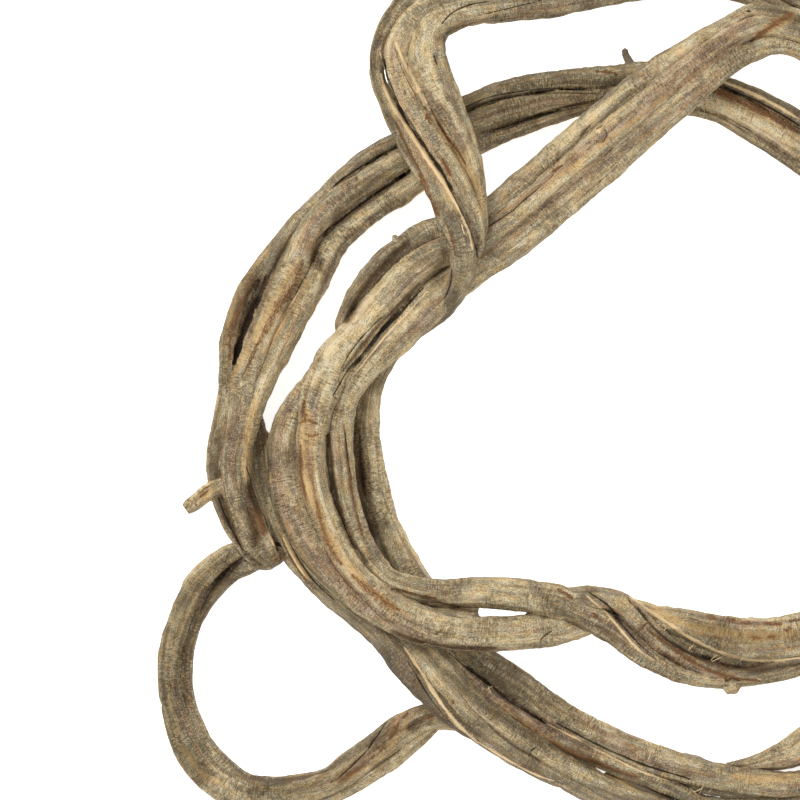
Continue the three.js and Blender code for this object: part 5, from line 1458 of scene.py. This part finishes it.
def bark_material(name, lightness, rust_share, colours):
    """Dry bark: long bands and streaks, cross rings, crackle, specks, torn edges and painted shade in the
    slots and hollows.
    """
    material = bpy.data.materials.new(name)
    material.use_nodes = True
    tree = material.node_tree
    shader = tree.nodes["Principled BSDF"]
    mesh = mesh_inputs(tree)
    noises = bark_noises(tree, mesh)
    ring_patch = spread(tree, noises["ring_place"], 0.42, 0.58)
    rings = times(tree, evened(tree, noises["rings"], 0.38, 0.62), ring_patch)
    fine = bark_grain(tree, noises, rings)
    tone = bark_tone(tree, mesh, noises, lightness)
    colour = tone_ramp(tree, maths(tree, "ADD", tone, fine), colours)
    colour = warmed(tree, colour, noises["warmth"])
    wear = wear_shares(tree, mesh, noises, fine, ring_patch)
    marks = mark_shares(tree, mesh, noises, fine)

    # From the bark upwards: where a layer lies, its colour, how strong it is and how it is laid.
    layers = (
        (wear["worn"], colours.worn, 0.85, "MIX"),
        (wear["violet"], colours.violet, 0.9, "MULTIPLY"),
        (wear["ring"], colours.hollow, 0.6, "MULTIPLY"),
        (wear["crackle"], colours.rust, 0.6, "MIX"),
        (wear["rust"], colours.rust, rust_share, "MIX"),
        (wear["scars"], colours.shade, 0.8, "MIX"),
        # Dusk bands: partly painted shade, partly weathered dark bark.
        (mesh["shaded_and_weathered"], colours.shaded_and_weathered, 1.0, "MULTIPLY"),
        # Painted shade over the shade marks.
        (mesh["shade"], colours.hollow, 0.95, "MULTIPLY"),
        (marks["lip"], colours.cream, 0.9, "MIX"),
        (marks["stain"], colours.stain, 0.8, "MULTIPLY"),
        (marks["rust"], colours.rust, 0.92, "MIX"),
        # The last three layers are painted shade: dark in the slots, then darker bark in the hollows.
        (marks["slot"], colours.slot, 0.9, "MIX"),
        (marks["hollow"], colours.hollow, 0.8, "MULTIPLY"),
        (marks["cavity_shade"], colours.slot, 0.7, "MIX"),
    )
    for share, over, strength, blend in layers:
        colour = laid(tree, colour, share, over, strength, blend)
    tree.links.new(colour, shader.inputs["Base Color"])

    # The fine relief, each part with its share.
    height = heaped(tree, times(tree, noises["streaks"], 0.8), (
        (noises["fibres"], 0.6), (noises["specks"], 0.5), (noises["grit"], 0.4),
        (rings, 0.35), (wear["crackle"], -0.6), (wear["scars"], -0.5)))
    bump = node(tree, "ShaderNodeBump")
    bump.inputs["Strength"].default_value = 0.9
    bump.inputs["Distance"].default_value = 0.0009
    tree.links.new(height, bump.inputs["Height"])
    tree.links.new(bump.outputs["Normal"], shader.inputs["Normal"])
    tree.links.new(spread(tree, noises["mottle"], 0.3, 0.7, 0.8, 0.96), shader.inputs["Roughness"])
    shader.inputs["Specular IOR Level"].default_value = 0.2
    return material


def grow_vine(node_name, slot, ribs, lightness, rust_share, first_number):
    """Grows all the ribs of a vine, fuses them, marks and paints the bark and hands it to the frame."""
    scene = bpy.context.scene
    grown = []
    for number, (name, rows) in enumerate(ribs.items(), start=first_number):
        grown.append(grow_rib(name, rows, TONES.get(name, PLAIN_TONE), number, scene.wreath_bark))
    vine = fuse(grown, node_name + "_bark")
    soften_valleys(vine, scene.wreath_bark.valley_rounds)
    refine_near(vine, MARKS[node_name])
    paint_marks(vine, MARKS[node_name], np.random.default_rng([scene.wreath_bark.seed, MARKS_DRAW]))
    paint_cavity_shade(vine)
    bpy.ops.object.shade_smooth()
    vine.data.materials.clear()
    vine.data.materials.append(bark_material(slot, lightness, rust_share, scene.wreath_colours))
    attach(vine, "root")
    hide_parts(node_name)


class WREATH_OT_inner_vine(bpy.types.Operator):
    """Grow the tan vine that comes down the slant and round the inside of the ring"""
    bl_idname = "wreath.inner_vine"
    bl_label = "Inner vine"

    def execute(self, context):
        grow_vine("inner_vine", "tan_bark", INNER_RIBS, lightness=0.0, rust_share=0.6, first_number=1)
        return {"FINISHED"}


class WREATH_OT_wrap_vine(bpy.types.Operator):
    """Grow the straw-coloured vine that wraps over the arch and dives under the ring"""
    bl_idname = "wreath.wrap_vine"
    bl_label = "Wrap vine"

    def execute(self, context):
        grow_vine("wrap_vine", "straw_bark", WRAP_RIBS, lightness=-0.03, rust_share=0.9, first_number=20)
        return {"FINISHED"}


class WREATH_OT_arch_vine(bpy.types.Operator):
    """Grow the khaki vine of the outer arch and its small loop"""
    bl_idname = "wreath.arch_vine"
    bl_label = "Arch vine"

    def execute(self, context):
        ribs = {**ARCH_RIBS, **{"loop_" + name: rows for name, rows in LOOP_RIBS.items()}}
        grow_vine("arch_vine", "khaki_bark", ribs, lightness=-0.01, rust_share=0.5, first_number=30)
        return {"FINISHED"}


class WREATH_OT_grey_vine(bpy.types.Operator):
    """Grow the grey vine that runs beneath the others along the bottom"""
    bl_idname = "wreath.grey_vine"
    bl_label = "Grey vine"

    def execute(self, context):
        # The grey vine is set darker as a whole: partly its own grey, partly painted shade for lying beneath
        # the others.
        grow_vine("grey_vine", "grey_bark", GREY_RIBS, lightness=-0.18, rust_share=0.5, first_number=50)
        return {"FINISHED"}


def fibre_root(x, y):
    """The place just inside the bark under a point of the tables' plane."""
    spot = ((x - CENTRE_X_MM) * MM, (y - CENTRE_Y_MM) * MM, ABOVE_ALL)
    graph = bpy.context.evaluated_depsgraph_get()
    found, place = bpy.context.scene.ray_cast(graph, spot, (0, 0, -1))[:2]
    if not found:
        raise RuntimeError("a fibre ends beside the wreath")
    return np.array(place) - (0, 0, FIBRE_ROOT)


def lay_fibre(row, draw):
    """Spans one thin fibre between two places seen from above, ending just inside the bark."""
    roots = [fibre_root(*row[:2]), fibre_root(*row[2:])]
    span = roots[1] - roots[0]
    deselect_all()
    bpy.ops.curve.primitive_bezier_curve_add(location=(0, 0, 0))
    fibre = bpy.context.object
    for point, place in zip(fibre.data.splines[0].bezier_points, roots):
        point.handle_left_type = "FREE"
        point.handle_right_type = "FREE"
        swing = draw.uniform(-FIBRE_SWING, FIBRE_SWING, 3) * np.linalg.norm(span)
        lift = np.array((0, 0, FIBRE_LIFT))
        point.co = place
        point.handle_left = place - span / 3 + lift + swing
        point.handle_right = place + span / 3 + lift + swing
    fibre.data.resolution_u = 6
    fibre.data.bevel_resolution = 1
    fibre.data.bevel_depth = draw.uniform(*FIBRE_RADIUS)
    fibre.data.use_fill_caps = True
    bpy.ops.object.convert(target="MESH")
    return bpy.context.object


def plain_material(name, colour, roughness):
    """A matt material of one colour; gives it and its shader."""
    material = bpy.data.materials.new(name)
    material.use_nodes = True
    shader = material.node_tree.nodes["Principled BSDF"]
    shader.inputs["Base Color"].default_value = (*colour, 1)
    shader.inputs["Roughness"].default_value = roughness
    return material, shader


class WREATH_OT_fibres(bpy.types.Operator):
    """Span the torn fibres across the splits of the bark"""
    bl_idname = "wreath.fibres"
    bl_label = "Torn fibres"

    def execute(self, context):
        draw = np.random.default_rng([context.scene.wreath_bark.seed, FIBRES_DRAW])
        fibres = [lay_fibre(row, draw) for row in FIBRES]
        deselect_all()
        for fibre in fibres:
            fibre.select_set(True)
        context.view_layer.objects.active = fibres[0]
        bpy.ops.object.join()
        whole = context.object
        whole.name = "torn_fibres"
        whole.data.name = "torn_fibres"
        move_vertices(whole.data, read_vertices(whole.data)[0])
        skin = plain_material("fibre_cream", context.scene.wreath_colours.cream, 0.8)[0]
        whole.data.materials.clear()
        whole.data.materials.append(skin)
        bpy.ops.object.shade_smooth()
        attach(whole, "root")
        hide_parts("inner_vine", "wrap_vine")
        return {"FINISHED"}


def lay_floor(stage):
    """Lays the pale, softly glowing floor."""
    deselect_all()
    bpy.ops.mesh.primitive_plane_add(size=stage.floor_side, location=(0, 0, 0))
    floor = bpy.context.object
    floor.name = "floor"
    paper, shader = plain_material("floor_paper", stage.floor_colour, 0.9)
    shader.inputs["Emission Color"].default_value = (1, 1, 1, 1)
    shader.inputs["Emission Strength"].default_value = stage.floor_glow
    floor.data.materials.append(paper)


def even_light(strength):
    """A white world that lights the wreath from all sides."""
    world = bpy.data.worlds.new("even_light")
    world.use_nodes = True
    sky = world.node_tree.nodes["Background"]
    sky.inputs["Color"].default_value = (1, 1, 1, 1)
    sky.inputs["Strength"].default_value = strength
    return world


def add_sun(name, strength, height_deg, side_deg, softness_deg):
    """Adds a soft sun at a height above the floor, from a side counted from +X."""
    bpy.ops.object.light_add(type="SUN", location=(0, 0, 3))
    sun = bpy.context.object
    sun.name = name
    sun.data.energy = strength
    sun.data.angle = math.radians(softness_deg)
    sun.rotation_euler = (0, math.radians(90 - height_deg), math.radians(side_deg))


def add_camera(stage):
    """Hangs the camera straight above the middle of the picture and gives it back."""
    middle_x = (sum(VIEW_X_MM) / 2 - CENTRE_X_MM) * MM
    middle_y = (sum(VIEW_Y_MM) / 2 - CENTRE_Y_MM) * MM
    bpy.ops.object.camera_add(location=(middle_x, middle_y, stage.camera_height), rotation=(0, 0, 0))
    camera = bpy.context.object
    camera.name = "camera"
    camera.data.sensor_width = SENSOR_MM
    camera.data.lens = SENSOR_MM * (stage.camera_height - PICTURE_HEIGHT) / stage.view_side
    camera.data.clip_end = 100
    return camera


class WREATH_OT_stage(bpy.types.Operator):
    """Lay the pale floor, hang the soft lights and set the camera above the wreath"""
    bl_idname = "wreath.stage"
    bl_label = "Stage"

    def execute(self, context):
        stage = context.scene.wreath_stage
        lay_floor(stage)
        context.scene.world = even_light(stage.sky)
        context.scene.view_settings.view_transform = "Standard"
        add_sun("key_light", stage.key, *KEY_SUN)
        add_sun("fill_light", stage.fill, *FILL_SUN)
        context.scene.camera = add_camera(stage)
        return {"FINISHED"}


class WREATH_PT_panel(bpy.types.Panel):
    """Sizes, colours and steps of the wreath"""
    bl_label = "Grapevine wreath"
    bl_idname = "WREATH_PT_panel"
    bl_space_type = "VIEW_3D"
    bl_region_type = "UI"
    bl_category = "Wreath"

    def draw(self, context):
        for group in (context.scene.wreath_bark, context.scene.wreath_colours, context.scene.wreath_stage):
            box = self.layout.box()
            for name in group.__annotations__:
                box.prop(group, name)
        for operator in OPERATORS:
            self.layout.operator(operator.bl_idname)


OPERATORS = (WREATH_OT_stage, WREATH_OT_inner_vine, WREATH_OT_wrap_vine, WREATH_OT_arch_vine,
             WREATH_OT_grey_vine, WREATH_OT_fibres)
GROUPS = {"wreath_bark": WreathBark, "wreath_colours": WreathColours, "wreath_stage": WreathStage}


def register():
    """Adds the groups, the operators and the panel."""
    for cls in (*GROUPS.values(), *OPERATORS, WREATH_PT_panel):
        bpy.utils.register_class(cls)
    for name, group in GROUPS.items():
        setattr(bpy.types.Scene, name, bpy.props.PointerProperty(type=group))


def unregister():
    """Takes the groups, the operators and the panel away again."""
    for name in GROUPS:
        delattr(bpy.types.Scene, name)
    for cls in (WREATH_PT_panel, *reversed(OPERATORS), *reversed(GROUPS.values())):
        bpy.utils.unregister_class(cls)


def main():
    """Builds the whole wreath."""
    register()
    bpy.ops.wreath.stage()
    bpy.ops.wreath.inner_vine()
    bpy.ops.wreath.wrap_vine()
    bpy.ops.wreath.arch_vine()
    bpy.ops.wreath.grey_vine()
    bpy.ops.wreath.fibres()


if __name__ == "__main__":
    main()
